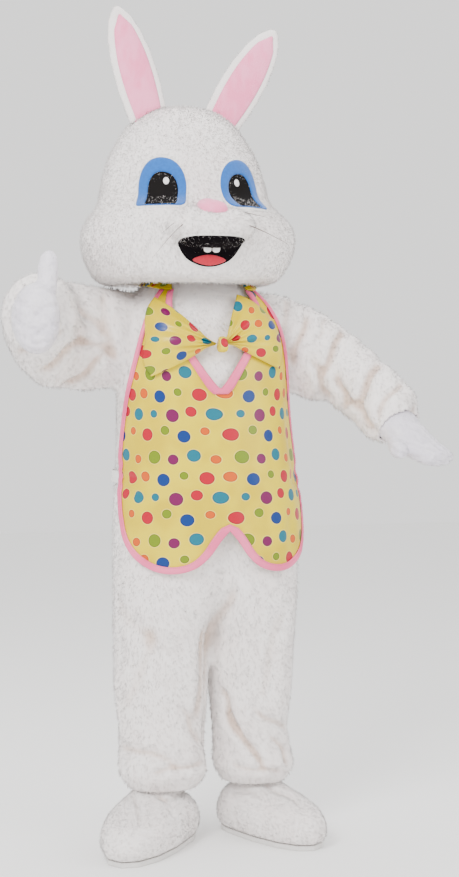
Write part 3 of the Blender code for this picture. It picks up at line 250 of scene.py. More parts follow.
def suit_axis(name):
    side = -1 if "right" in name else 1
    if name.startswith("sleeve"):
        return axis_line(RIGHT_ARM_AXIS if side < 0 else LEFT_ARM_AXIS)
    return axis_line(LEG_AXIS, side)


WELD = 0.0009


def outer_faces(axes):
    """The outward faces of packed walls, welded together where they meet. axes gives a line inside each."""
    work = bmesh.new()
    for name, line in axes.items():
        tree = KDTree(len(line))
        for i, point in enumerate(line):
            tree.insert(point, i)
        tree.balance()
        part = bmesh.new()
        part.from_mesh(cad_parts[name].data)
        bmesh.ops.remove_doubles(part, verts=part.verts, dist=1e-5)
        part.normal_update()
        inward = []
        for face in part.faces:
            middle = face.calc_center_median()
            away = (middle - tree.find(middle)[0]).normalized()
            if face.normal.dot(away) < 0.25:
                inward.append(face)
        bmesh.ops.delete(part, geom=inward, context="FACES")
        mesh = bpy.data.meshes.new("part")
        part.to_mesh(mesh)
        part.free()
        work.from_mesh(mesh)
        bpy.data.meshes.remove(mesh)
    bmesh.ops.remove_doubles(work, verts=work.verts, dist=WELD)
    return work


def remeshed(work, voxel):
    """A closed, even mesh over whatever work holds. Its holes are filled first."""
    edges = [edge for edge in work.edges if len(edge.link_faces) == 1]
    bmesh.ops.holes_fill(work, edges=edges, sides=0)
    mesh = bpy.data.meshes.new("rough")
    work.to_mesh(mesh)
    work.free()
    rough = bpy.data.objects.new("rough", mesh)
    bpy.context.scene.collection.objects.link(rough)
    step = rough.modifiers.new("Remesh", "REMESH")
    step.mode = "VOXEL"
    step.voxel_size = voxel
    bpy.context.view_layer.update()
    made = bpy.data.meshes.new_from_object(rough.evaluated_get(bpy.context.evaluated_depsgraph_get()))
    bpy.data.objects.remove(rough)
    bpy.data.meshes.remove(mesh)
    return made


def corners_of(mesh):
    points = np.empty(len(mesh.vertices) * 3)
    mesh.vertices.foreach_get("co", points)
    return points.reshape(-1, 3)


def normals_of(mesh):
    normals = np.empty(len(mesh.vertices) * 3)
    mesh.vertex_normals.foreach_get("vector", normals)
    return normals.reshape(-1, 3)


def place(mesh, points):
    mesh.vertices.foreach_set("co", np.ascontiguousarray(points, dtype=float).ravel())
    mesh.update()


def relaxed(mesh, rounds, share=0.5, held=None):
    """Draws every point towards the middle of its neighbours."""
    edges = np.empty(len(mesh.edges) * 2, int)
    mesh.edges.foreach_get("vertices", edges)
    edges = edges.reshape(-1, 2)
    points = corners_of(mesh)
    count = np.zeros(len(points))
    np.add.at(count, edges[:, 0], 1)
    np.add.at(count, edges[:, 1], 1)
    for _ in range(rounds):
        total = np.zeros_like(points)
        for axis in range(3):
            total[:, axis] = np.bincount(edges[:, 0], points[edges[:, 1], axis], len(points))
            total[:, axis] += np.bincount(edges[:, 1], points[edges[:, 0], axis], len(points))
        moved = points + share * (total / np.maximum(count, 1)[:, None] - points)
        if held is not None:
            moved[held] = points[held]
        points = moved
    place(mesh, points)


def opened(mesh, openings):
    """Takes away the faces that close each opening, and sets the rim on the opening's plane."""
    work = bmesh.new()
    work.from_mesh(mesh)
    work.normal_update()
    lost = []
    for face in work.faces:
        middle = face.calc_center_median()
        for spot, way, radius in openings:
            off = middle - Vector(spot)
            if off.length < radius and off.dot(Vector(way)) > -0.005 and face.normal.dot(Vector(way)) > 0.6:
                lost.append(face)
                break
    bmesh.ops.delete(work, geom=lost, context="FACES")
    for vert in work.verts:
        if vert.is_boundary:
            for spot, way, radius in openings:
                off = vert.co - Vector(spot)
                if off.length < radius * 1.2:
                    vert.co -= Vector(way) * off.dot(Vector(way))
    work.to_mesh(mesh)
    work.free()


Crease = namedtuple("Crease", "x0 y0 x1 y1 wide deep")
SLEEVE_CREASES = (
    Crease(303, 322, 294, 358, 7, 0.012),
    Crease(325, 322, 319, 335, 5, 0.008),
    Crease(343, 333, 323, 368, 7, 0.013),
    Crease(315, 368, 325, 392, 6, 0.012),
    Crease(338, 381, 343, 404, 6, 0.013),
    Crease(380, 362, 358, 396, 7, 0.014),
    Crease(352, 404, 368, 424, 7, 0.012),
    Crease(398, 384, 378, 412, 7, 0.010),
    Crease(420, 404, 396, 432, 6, 0.010),
    Crease(284, 300, 286, 350, 8, 0.008),
    Crease(22, 352, 58, 336, 6, 0.011),
    Crease(48, 368, 78, 346, 7, 0.012),
    Crease(72, 384, 98, 362, 7, 0.012),
    Crease(86, 340, 108, 352, 7, 0.010),
    Crease(80, 306, 100, 330, 8, 0.009),
    Crease(104, 300, 112, 350, 8, 0.008),
)
LEG_CREASES = (
    Crease(230, 722, 258, 764, 6, 0.014),
    Crease(221, 696, 233, 726, 6, 0.010),
    Crease(262, 716, 290, 734, 6, 0.009),
    Crease(236, 768, 276, 776, 5, 0.008),
    Crease(276, 742, 288, 762, 5, 0.010),
    Crease(206, 640, 198, 712, 8, 0.010),
    Crease(228, 600, 210, 640, 9, 0.009),
    Crease(116, 604, 146, 640, 11, 0.006),
    Crease(150, 640, 128, 700, 12, 0.006),
    Crease(124, 748, 168, 764, 6, 0.009),
    Crease(158, 776, 198, 764, 5, 0.009),
    Crease(184, 716, 200, 742, 7, 0.008),
    Crease(280, 622, 262, 690, 11, 0.006),
)
BACK_CREASES = (
    Crease(120, 470, 260, 486, 8, 0.006),
    Crease(140, 530, 200, 560, 9, 0.007),
    Crease(210, 560, 282, 530, 9, 0.007),
    Crease(120, 700, 190, 716, 6, 0.007),
    Crease(222, 706, 284, 722, 6, 0.008),
    Crease(120, 744, 196, 756, 5, 0.008),
    Crease(224, 748, 286, 760, 5, 0.008),
    Crease(70, 300, 86, 372, 6, 0.010),
    Crease(40, 300, 50, 356, 6, 0.009),
    Crease(304, 316, 312, 390, 6, 0.011),
    Crease(334, 330, 336, 396, 6, 0.011),
    Crease(362, 350, 356, 420, 6, 0.011),
    Crease(150, 330, 160, 420, 9, 0.005),
    Crease(262, 330, 250, 420, 9, 0.005),
)


def pressed(mesh, creases, facing=1):
    """Presses creases into the side that faces the camera (1) or away from it (-1).

    Each is a soft trough with raised shoulders. How deep every point went is kept for the shader, which
    paints shade into the creases by it.
    """
    points, normals = corners_of(mesh), normals_of(mesh)
    across, down = seen_at(points)
    to_eye = np.array(EYE) - points
    to_eye /= np.linalg.norm(to_eye, axis=1)[:, None]
    turned = np.clip(facing * (normals * to_eye).sum(1) * 3, 0, 1)
    depth = np.zeros(len(points))
    for crease in creases:
        along = np.array((crease.x1 - crease.x0, crease.y1 - crease.y0), float)
        length = np.hypot(*along)
        along /= length
        off = np.stack((across - crease.x0, down - crease.y0), 1)
        run = off @ along
        bend = 2.2 * np.sin(run / max(length, 1) * 4.4 + crease.x0)
        aside = (off @ np.array((-along[1], along[0])) + bend) / crease.wide
        past = np.maximum(0, np.maximum(-run, run - length)) / (crease.wide * 1.6)
        depth += crease.deep * (1 - 0.9 * aside**2) * np.exp(-(aside**2)) * np.exp(-(past**2))
    depth *= turned
    place(mesh, points - normals * depth[:, None])
    layer = mesh.attributes.get("fold") or mesh.attributes.new("fold", "FLOAT", "POINT")
    before = np.empty(len(points))
    layer.data.foreach_get("value", before)
    layer.data.foreach_set("value", (before + np.clip(depth, 0, 1) * 100).astype(np.float32))


def plush(name, colour, shade, fold, pile=PLUSH_PILE):
    """Plush: combed pile that is warm white, with painted tan shade deep in the creases."""
    paint = Surface(name, Roughness=0.92, Sheen_Weight=0.35, Sheen_Roughness=0.45)
    paint.shader.inputs["Specular IOR Level"].default_value = 0.25
    spot = paint.own_place()
    combed = spot * (1.0, 1.0, 0.45)
    fibre = paint.noise(combed, pile, detail=3)
    clump = paint.noise(combed, pile * 5)
    patch = paint.noise(spot, 0.11)
    tone = paint.blend(paint.ramp(clump * 0.5 + patch * 0.5, 0.38, 0.62), shade, colour)
    # Painted shade: the deeper a point was pressed into a crease, the more its colour goes towards the tan
    # shade colour.
    deep = paint.ramp(paint.node("ShaderNodeAttribute", output=2, attribute_name="fold"), 0.25, 1.3)
    paint.feed("Base Color", paint.blend(deep * 0.85, tone, fold))
    soft = paint.bump(clump, pile * 0.5, 0.25)
    paint.feed("Normal", paint.bump(fibre, pile * 0.25, 0.45, soft))
    return paint.material


def solid_wall(mesh, thick):
    """Gives a single skin the thickness of its cloth, inwards."""
    points, normals = corners_of(mesh), normals_of(mesh)
    work = bmesh.new()
    work.from_mesh(mesh)
    count = len(points)
    for vert, point, normal in zip(list(work.verts), points, normals):
        work.verts.new(Vector(point - normal * thick), vert)
    work.verts.index_update()
    work.verts.ensure_lookup_table()
    for face in list(work.faces):
        work.faces.new([work.verts[v.index + count] for v in reversed(face.verts)])
    rim = [e for e in work.edges if e.is_boundary and max(e.verts[0].index, e.verts[1].index) < count]
    for edge in rim:
        a, b = edge.verts
        if edge.link_loops[0].vert == a:
            a, b = b, a
        work.faces.new([a, b, work.verts[b.index + count], work.verts[a.index + count]])
    work.to_mesh(mesh)
    work.free()


def add_piece(name, mesh, material, stands_for=()):
    """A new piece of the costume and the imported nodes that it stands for."""
    mesh.materials.clear()
    mesh.materials.append(material)
    mesh.shade_smooth()
    made = bpy.data.objects.new(name, mesh)
    bpy.context.scene.collection.objects.link(made)
    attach(made, "costume")
    if stands_for:
        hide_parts(*stands_for)
    return made


def skin_area(mesh):
    """The area of one side of a cloth, before it gets its thickness."""
    return sum(face.area for face in mesh.polygons)


CUT_SHARE = 0.98


def cut_of(area, width):
    """Works out the length of a strip or panel of that width from its area; the value is not kept."""
    area / width / CUT_SHARE


def sewn(name, mesh, material, nodes, thick, width):
    """A cloth piece from a single skin: it gets its thickness and its place."""
    area = skin_area(mesh)
    solid_wall(mesh, thick)
    piece = add_piece(name, mesh, material, nodes)
    cut_of(area, width)
    return piece


def tree_of(mesh):
    """A mesh as rays meet it."""
    return BVHTree.FromPolygons([v.co for v in mesh.vertices], [tuple(p.vertices) for p in mesh.polygons])


def pile_on(name, mesh, material, count, length, wide, seed, nap=(0, 0, -1), keep=None):
    """Short tufts of pile that lie down the nap, lit as the skin under them is."""
    rng = np.random.default_rng(seed)
    mesh.calc_loop_triangles()
    corner = np.empty(len(mesh.loop_triangles) * 3, int)
    mesh.loop_triangles.foreach_get("vertices", corner)
    corner = corner.reshape(-1, 3)
    points, normals = corners_of(mesh), normals_of(mesh)
    fold = np.zeros(len(points))
    if mesh.attributes.get("fold"):
        mesh.attributes["fold"].data.foreach_get("value", fold)
    a, b, c = (points[corner[:, i]] for i in range(3))
    area = np.linalg.norm(np.cross(b - a, c - a), axis=1)
    chosen = rng.choice(len(corner), count, p=area / area.sum())
    u, v = rng.random(count), rng.random(count)
    flip = u + v > 1
    u[flip], v[flip] = 1 - u[flip], 1 - v[flip]
    share = np.stack((1 - u - v, u, v), 1)
    root = (points[corner[chosen]] * share[:, :, None]).sum(1)
    normal = (normals[corner[chosen]] * share[:, :, None]).sum(1)
    normal /= np.linalg.norm(normal, axis=1)[:, None]
    deep = (fold[corner[chosen]] * share).sum(1)
    if keep is not None:
        good = keep(root, normal)
        root, normal, deep = root[good], normal[good], deep[good]
        count = len(root)
    flow = np.array(nap, float) - normal * (normal @ np.array(nap, float))[:, None]
    flow += rng.normal(0, 0.35, (count, 3))
    flow -= normal * (flow * normal).sum(1)[:, None]
    size = length * rng.uniform(0.7, 1.25, count)
    heading = normal * rng.uniform(0.45, 0.9, count)[:, None] + flow * 0.75
    heading /= np.linalg.norm(heading, axis=1)[:, None]
    side = np.cross(heading, normal + rng.normal(0, 0.2, (count, 3)))
    side /= np.linalg.norm(side, axis=1)[:, None]
    other = np.cross(heading, side)
    base = root - normal * length * 0.12
    half = wide * rng.uniform(0.7, 1.2, count)[:, None]
    verts = np.empty((count, 4, 3))
    for i in range(3):
        angle = 2 * math.pi * i / 3
        verts[:, i] = base + half * (side * math.cos(angle) + other * math.sin(angle))
    verts[:, 3] = base + heading * size[:, None]
    first = np.arange(count)[:, None] * 4
    faces = np.concatenate([first + np.array(f) for f in ((0, 1, 3), (1, 2, 3), (2, 0, 3), (2, 1, 0))], 0)
    made = bpy.data.meshes.new(name)
    made.from_pydata(verts.reshape(-1, 3), [], faces.tolist())
    # Each tuft takes the painted crease shade of the skin under it.
    layer = made.attributes.new("fold", "FLOAT", "POINT")
    layer.data.foreach_set("value", np.repeat(deep, 4).astype(np.float32))
    piece = add_piece(name, made, material)
    lit = normal + heading * 0.25 + rng.normal(0, 0.10, (count, 3))
    lit /= np.linalg.norm(lit, axis=1)[:, None]
    made.normals_split_custom_set_from_vertices(np.repeat(lit, 4, axis=0).tolist())
    return piece


WHITE = (0.89, 0.845, 0.825, 1)
WHITE_SHADE = (0.85, 0.79, 0.77, 1)
# Painted shade colour for deep creases.
CREASE_SHADE_TAN = (0.66, 0.50, 0.41, 1)
SUIT_STEP = 0.0076
RIGHT_RIM = (-0.448, -0.174, -0.055)
RIGHT_RIM_WAY = (-0.23, -0.97, 0.0)
LEFT_RIM = (0.421, -0.203, -0.309)
LEFT_RIM_WAY = (0.33, -0.70, -0.60)
Opening = namedtuple("Opening", "spot way radius")
SUIT_OPENINGS = (
    Opening((-0.104, 0.02, -1.175), (0, 0, -1), 0.12),
    Opening((0.132, 0.02, -1.175), (0, 0, -1), 0.12),
    Opening((-0.020, 0.012, 0.050), (0, 0, 1), 0.13),
    Opening(RIGHT_RIM, RIGHT_RIM_WAY, 0.10),
    Opening(LEFT_RIM, LEFT_RIM_WAY, 0.10),
)
suit_plush = plush("suit_plush", WHITE, WHITE_SHADE, CREASE_SHADE_TAN)
suit_mesh = remeshed(outer_faces({n: suit_axis(n) for n in SUIT_NODES}), SUIT_STEP)
relaxed(suit_mesh, 5)
opened(suit_mesh, SUIT_OPENINGS)
Cuff = namedtuple("Cuff", "glove rim way")
CUFFS = (
    Cuff("glove_right", Vector(RIGHT_RIM), Vector(RIGHT_RIM_WAY).normalized()),
    Cuff("glove_left", Vector(LEFT_RIM), Vector(LEFT_RIM_WAY).normalized()),
)
CUFF_GATHER = 0.045
CUFF_EASE = 0.0085


def gathered(mesh, cuff):
    """Draws a sleeve's end in on the glove that it is gathered over, with small uneven tucks."""
    tree = tree_of(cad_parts[cuff.glove].data)
    for vert in mesh.vertices:
        off = vert.co - cuff.rim
        along = off.dot(cuff.way)
        if along < -CUFF_GATHER or off.length > 0.13:
            continue
        spot = cuff.rim + cuff.way * along
        out = (vert.co - spot).normalized()
        found = tree.ray_cast(spot + out * 0.14, -out)[0]
        if found is None:
            continue
        angle = math.atan2(out.z, out.x)
        tuck = 0.0016 * math.sin(11 * angle + 2 * math.sin(3 * angle))
        drawn = (found - spot).length + CUFF_EASE + tuck
        share = min(1.0, (along + CUFF_GATHER) / (CUFF_GATHER - 0.006))
        share = share * share * (3 - 2 * share)
        wide = (vert.co - spot).length
        vert.co = spot + out * (wide + (min(drawn, wide) - wide) * share)
    mesh.update()


for cuff in CUFFS:
    gathered(suit_mesh, cuff)
relaxed(suit_mesh, 2, 0.4)
pressed(suit_mesh, SLEEVE_CREASES + LEG_CREASES)
pressed(suit_mesh, BACK_CREASES, facing=-1)
relaxed(suit_mesh, 1, 0.4)
suit_skin = suit_mesh.copy()
jumpsuit = sewn("jumpsuit", suit_mesh, suit_plush, SUIT_NODES,
                thick=0.006, width=1.45)
SUIT_TUFTS = 38000
PILE_SPLIT = -0.58
for name, seed, keep in (
    ("jumpsuit_pile_upper", 3, lambda root, normal: root[:, 2] > PILE_SPLIT),
    ("jumpsuit_pile_lower", 4, lambda root, normal: root[:, 2] <= PILE_SPLIT),
):
    pile_on(name, suit_skin, suit_plush, SUIT_TUFTS, length=0.009, wide=0.0012, seed=seed, keep=keep)


# Head
# Foam shell covered in white plush, open under the chin, with a stuffed muzzle sewn on.
# The shell's two halves and the muzzle are shown as one skin, because the pile hides their seams.
HEAD_PLACE = Vector((-0.056, -0.018, FLOOR))
HEAD_TURN = Matrix.Rotation(math.radians(-0.5), 4, "Z")
HEAD_TO_ROW = Matrix.Translation(HEAD_PLACE) @ HEAD_TURN
Puff = namedtuple("Puff", "x y z wide tall rise")
PUFFS = (
    Puff(-0.092, -0.19, 1.478, 0.058, 0.030, 0.014),
    Puff(0.092, -0.19, 1.478, 0.058, 0.030, 0.014),
    Puff(0.0, -0.20, 1.330, 0.100, 0.022, 0.008),
)


def puffed(mesh, puffs, matrix):
    """Raises soft swellings on a skin. Each lies at a point of the piece's own frame."""
    points, normals = corners_of(mesh), normals_of(mesh)
    back = np.array(matrix.inverted())
    local = points @ back[:3, :3].T + back[:3, 3]
    rise = np.zeros(len(points))
    for puff in puffs:
        off = (local - np.array((puff.x, puff.y, puff.z))) / np.array((puff.wide, 0.09, puff.tall))
        rise += puff.rise * np.exp(-(off**2).sum(1))
    place(mesh, points + normals * rise[:, None])


HeadRing = namedtuple("HeadRing", "turn height half_width front back forward squareness")
HEAD_RINGS = (
    HeadRing(0.00, 1.326, 0.209, 0.147, 0.230, 0.030, 2.2),
    HeadRing(0.06, 1.340, 0.222, 0.156, 0.242, 0.034, 2.2),
    HeadRing(0.13, 1.366, 0.236, 0.161, 0.250, 0.040, 2.2),
    HeadRing(0.21, 1.400, 0.249, 0.164, 0.262, 0.044, 2.2),
    HeadRing(0.29, 1.436, 0.252, 0.166, 0.264, 0.046, 2.2),
    HeadRing(0.36, 1.468, 0.242, 0.166, 0.254, 0.042, 2.1),
    HeadRing(0.42, 1.494, 0.219, 0.163, 0.236, 0.030, 2.0),
    HeadRing(0.48, 1.518, 0.204, 0.160, 0.214, 0.012, 1.9),
    HeadRing(0.56, 1.560, 0.195, 0.159, 0.198, 0.000, 1.9),
    HeadRing(0.65, 1.605, 0.182, 0.158, 0.181, -0.010, 2.0),
    HeadRing(0.74, 1.652, 0.160, 0.151, 0.160, -0.022, 2.1),
    HeadRing(0.84, 1.703, 0.124, 0.128, 0.126, -0.034, 2.2),
    HeadRing(0.92, 1.733, 0.084, 0.090, 0.087, -0.040, 2.2),
    HeadRing(0.97, 1.746, 0.041, 0.045, 0.042, -0.042, 2.2),
    HeadRing(1.00, 1.750, 0.001, 0.001, 0.001, -0.042, 2.2),
)


def curved(t, start, slope_start, end, slope_end):
    """A smooth curve from start to end, with a slope at each."""
    from_start = (2 * t**3 - 3 * t**2 + 1) * start + (t**3 - 2 * t**2 + t) * slope_start
    return from_start + (3 * t**2 - 2 * t**3) * end + (t**3 - t**2) * slope_end


def at(table, value):
    """A table's row at a value of its first column, on a smooth curve through its rows."""
    last = len(table) - 1
    value = min(max(value, table[0][0]), table[last][0])
    low = max([i for i in range(last) if table[i][0] <= value] or [0])
    a, b = table[low], table[low + 1]
    before, after = table[max(low - 1, 0)], table[min(low + 2, last)]
    span = b[0] - a[0]
    t = (value - a[0]) / span
    values = []
    for column in range(len(a)):
        slope_a = (b[column] - before[column]) / (b[0] - before[0]) * span
        slope_b = (after[column] - a[column]) / (after[0] - a[0]) * span
        values.append(curved(t, a[column], slope_a, b[column], slope_b))
    return type(a)(*values)


def spread(low, high, count):
    """Evenly spaced values from low to high, both ends included."""
    return [low + (high - low) * i / count for i in range(count + 1)]


def squared(share, squareness=2.2):
    """The sine or cosine of an angle, pushed outwards. A squareness of 2 gives a plain ellipse."""
    return math.copysign(abs(share) ** (2 / squareness), share)


def tube_mesh(name, loops):
    """A closed body through loops of points, its ends closed round their middles."""
    count = len(loops[0])
    points = [point for loop in loops for point in loop]
    faces = []
    for row in range(len(loops) - 1):
        for i in range(count):
            a, b = row * count + i, row * count + (i + 1) % count
            faces.append([a, b, b + count, a + count])
    for row in (0, len(loops) - 1):
        middle = len(points)
        points.append(sum((Vector(p) for p in loops[row]), Vector()) / count)
        for i in range(count):
            faces.append([row * count + i, row * count + (i + 1) % count, middle])
    mesh = bpy.data.meshes.new(name)
    mesh.from_pydata(points, [], faces)
    work = bmesh.new()
    work.from_mesh(mesh)
    bmesh.ops.recalc_face_normals(work, faces=work.faces)
    work.to_mesh(mesh)
    work.free()
    return mesh


def head_form():
    """The shell's outer form, closed at the bottom."""
    loops = []
    for turn in spread(0, 1, 60):
        ring = at(HEAD_RINGS, turn)
        loop = []
        for i in range(96):
            angle = 2 * math.pi * i / 96
            in_front = math.cos(angle) > 0
            squareness = ring.squareness if in_front else 2.2
            across = ring.half_width * squared(math.sin(angle), squareness)
            deep = (ring.front if in_front else ring.back) * squared(math.cos(angle), squareness)
            loop.append(HEAD_TO_ROW @ Vector((across, -ring.forward - deep, ring.height)))
        loops.append(loop)
    return tube_mesh("head_form", loops)


def closed_copy(work):
    """A mesh of work with its openings filled, so that it can be joined with another."""
    bmesh.ops.holes_fill(work, edges=[edge for edge in work.edges if edge.is_boundary], sides=0)
    mesh = bpy.data.meshes.new("closed")
    work.to_mesh(mesh)
    work.free()
    return mesh


HEAD_STEP = 0.0062
CHIN_HEIGHT = 0.075
HEAD_OPENING = Opening((-0.056, -0.010, 0.030), (0, 0, -1), 0.165)
muzzle_middle = HEAD_TO_ROW @ Vector((0, -0.16, 1.447))
head_work = bmesh.new()
head_work.from_mesh(head_form())
head_work.from_mesh(closed_copy(outer_faces({"muzzle": [muzzle_middle]})))
head_mesh = remeshed(head_work, HEAD_STEP)
relaxed(head_mesh, 6)
puffed(head_mesh, PUFFS, HEAD_TO_ROW)
relaxed(head_mesh, 3)
relaxed(head_mesh, 45, held=corners_of(head_mesh)[:, 2] > CHIN_HEIGHT)
relaxed(head_mesh, 3)
opened(head_mesh, (HEAD_OPENING,))
head_tree = tree_of(head_mesh)


FACE_RADIUS = 0.20


def ring_at(height):
    """The head's ring at a height, found by halving."""
    low, high = 0.0, 1.0
    for _ in range(22):
        middle = (low + high) / 2
        if at(HEAD_RINGS, middle).height < height:
            low = middle
        else:
            high = middle
    return at(HEAD_RINGS, low)


def on_face(reach, height, lift=0.0):
    """A point over the head's skin. reach is the distance round from the middle of the face."""
    ring = ring_at(height)
    angle = reach / FACE_RADIUS
    across = ring.half_width * squared(math.sin(angle), ring.squareness)
    deep = ring.front * squared(math.cos(angle), ring.squareness)
    spot = HEAD_TO_ROW @ Vector((across, -ring.forward - deep, height))
    inward = HEAD_TURN @ Vector((-math.sin(angle), math.cos(angle), 0))
    found, normal, _, _ = head_tree.ray_cast(spot - inward * 0.12, inward)
    if found is None:
        found, normal, _, _ = head_tree.find_nearest(spot)
    return found + normal * lift


Outline = namedtuple("Outline", "turn x z")


def round_outline(table, turn):
    """A smooth closed curve through a table's rows."""
    rows = table[:-1]
    count = len(rows)
    turn %= 1.0
    low = max(i for i in range(count) if rows[i].turn <= turn + 1e-9)
    a, b = rows[low], table[low + 1]
    before, after = rows[(low - 1) % count], rows[(low + 2) % count]
    before_turn = before.turn - (1 if low == 0 else 0)
    after_turn = after.turn + (1 if low + 2 >= count else 0)
    span = b.turn - a.turn
    t = (turn - a.turn) / span
    values = []
    for column in (1, 2):
        slope_a = (b[column] - before[column]) / (b.turn - before_turn) * span
        slope_b = (after[column] - a[column]) / (after_turn - a.turn) * span
        values.append(curved(t, a[column], slope_a, b[column], slope_b))
    return values


def oval(wide, tall):
    rows = []
    for turn in spread(0, 1, 12):
        angle = 2 * math.pi * turn
        rows.append(Outline(turn, wide * math.cos(angle), tall * math.sin(angle)))
    return rows


def grown(table, by):
    """An outline moved out by a distance."""
    rows = []
    for row in table:
        size = math.hypot(row.x, row.z)
        rows.append(Outline(row.turn, row.x * (1 + by / size), row.z * (1 + by / size)))
    return rows


def patch_mesh(name, outline, middle, base, thick, hole=None, dome=0.0, rows=8, sides=64, surface=on_face):
    """A felt or stuffed patch that follows the surface under it, with a softly rounded edge."""
    points, count = [], 0
    for layer in (1, 0):
        for row in range(rows + 1):
            share = row / rows
            for side in range(sides):
                x, z = round_outline(outline, side / sides)
                if hole:
                    hx, hz = round_outline(hole, side / sides)
                    x, z = hx + (x - hx) * share, hz + (z - hz) * share
                    edge = min(share, 1 - share)
                else:
                    x, z = x * max(share, 0.001), z * max(share, 0.001)
                    edge = 1 - share
                soft = min(1.0, edge * rows / 1.5)
                rise = thick * (0.45 + 0.55 * math.sqrt(soft)) + dome * math.sqrt(max(0.0, 1 - share**2))
                lift = base + rise if layer else base - 0.0012
                points.append(surface(middle[0] + x, middle[1] + z, lift))
    faces = []
    ring = (rows + 1) * sides
    for layer in (0, 1):
        for row in range(rows):
            for side in range(sides):
                other = (side + 1) % sides
                a = layer * ring + row * sides
                face = [a + side, a + other, a + sides + other, a + sides + side]
                faces.append(face if layer else face[::-1])
    for row in ((0, rows) if hole else (rows,)):
        for side in range(sides):
            other = (side + 1) % sides
            a, b = row * sides, ring + row * sides
            face = [a + side, a + other, b + other, b + side]
            faces.append(face if row else face[::-1])
    mesh = bpy.data.meshes.new(name)
    mesh.from_pydata(points, [], faces)
    work = bmesh.new()
    work.from_mesh(mesh)
    bmesh.ops.remove_doubles(work, verts=work.verts, dist=1e-5)
    bmesh.ops.recalc_face_normals(work, faces=work.faces)
    work.to_mesh(mesh)
    work.free()
    return mesh


EYE_ARCH = (
    Outline(0.00, 0.0560, -0.0570),
    Outline(0.07, 0.0605, -0.0300),
    Outline(0.14, 0.0617, 0.0000),
    Outline(0.22, 0.0530, 0.0300),
    Outline(0.30, 0.0320, 0.0505),
    Outline(0.375, 0.0000, 0.0575),
    Outline(0.45, -0.0320, 0.0505),
    Outline(0.53, -0.0530, 0.0300),
    Outline(0.61, -0.0617, 0.0000),
    Outline(0.68, -0.0605, -0.0300),
    Outline(0.75, -0.0560, -0.0570),
    Outline(0.81, -0.0300, -0.0585),
    Outline(0.875, 0.0000, -0.0590),
    Outline(0.94, 0.0300, -0.0585),
    Outline(1.00, 0.0560, -0.0570),
)
EYE_REACH = 0.107
EYE_HEIGHT = 1.552


OUTER_SHARE = 0.86


def eye_outline(side):
    """The arch of one eye, whose outer half is a little narrower."""
    return [o._replace(x=o.x * (OUTER_SHARE if o.x * side > 0 else 1)) for o in EYE_ARCH]


def pupil_outline(side, grow=0.0):
    rows = []
    for o in eye_outline(side):
        rows.append(Outline(o.turn, side * -0.004 + o.x * 0.62, -0.0143 + o.z * (0.67 if o.z > 0 else 0.75)))
    return grown(rows, grow) if grow else rows


# The wall is cut away behind each eye mesh, so that the dark inside shows through.
head_work = bmesh.new()
head_work.from_mesh(head_mesh)
head_work.normal_update()
gone = []
EYE_OPENING = 0.026
for side in (-1, 1):
    middle = on_face(side * (EYE_REACH - 0.004), EYE_HEIGHT - 0.014)
    gone += [face for face in head_work.faces if (face.calc_center_median() - middle).length < EYE_OPENING]
bmesh.ops.delete(head_work, geom=list(set(gone)), context="FACES")
head_work.to_mesh(head_mesh)
head_work.free()
head_skin = head_mesh.copy()
HEAD_WALL = 0.020
HEAD_TUFTS = 36000
solid_wall(head_mesh, HEAD_WALL)
head_plush = plush("head_plush", WHITE, WHITE_SHADE, CREASE_SHADE_TAN)
head = add_piece("head", head_mesh, head_plush, ("head_front", "head_back", "muzzle"))
pile_on("head_pile", head_skin, head_plush, HEAD_TUFTS, length=0.0075, wide=0.0009, seed=5,
        keep=lambda root, normal: root[:, 2] > 0.02)


# Eyes
# Blue felt arches on a thin white felt backing, each cut out for a black mesh that the wearer sees through.
# A small white disc on the mesh is the glint.
def felt(name, colour, rough=0.9, sheen=0.3, shine=0.5):
    """Felt: matted wool with a faint uneven tone and fine short fibres."""
    paint = Surface(name, Roughness=rough, Sheen_Weight=sheen, Sheen_Roughness=0.5, Specular_IOR_Level=shine)
    spot = paint.own_place()
    tone = paint.ramp(paint.noise(spot, 0.006), 0.3, 0.7)
    darker = tuple(c * 0.86 for c in colour[:3]) + (1,)
    paint.feed("Base Color", paint.blend(tone, darker, colour))
    paint.feed("Normal", paint.bump(paint.noise(spot, 0.0012, detail=4), 0.0004, 0.6))
    return paint.material


def eye_gauze():
    """Black mesh with fine round holes, drawn as darker and paler spots."""
    paint = Surface("eye_gauze", Roughness=0.7, Specular_IOR_Level=0.08)
    inputs = {"Vector": paint.own_place(), "Scale": 480.0, "Randomness": 0.1}
    holes = paint.node("ShaderNodeTexVoronoi", inputs, feature="F1")
    thread = paint.ramp(holes, 0.25, 0.45)
    paint.feed("Base Color", paint.blend(thread, (0.016, 0.011, 0.010, 1), (0.003, 0.003, 0.003, 1)))
    paint.feed("Normal", paint.bump(holes, 0.0005, 0.7))
    return paint.material


def felt_patch(name, outline, middle, base, thick, material, slot, nodes, width, below, **form):
    """A flat patch of cloth sewn on the face."""
    mesh = patch_mesh(name, outline, middle, base, thick, **form)
    area = skin_area(mesh) / 2
    piece = add_piece(name, mesh, material, nodes)
    cut_of(area, width)
    return piece


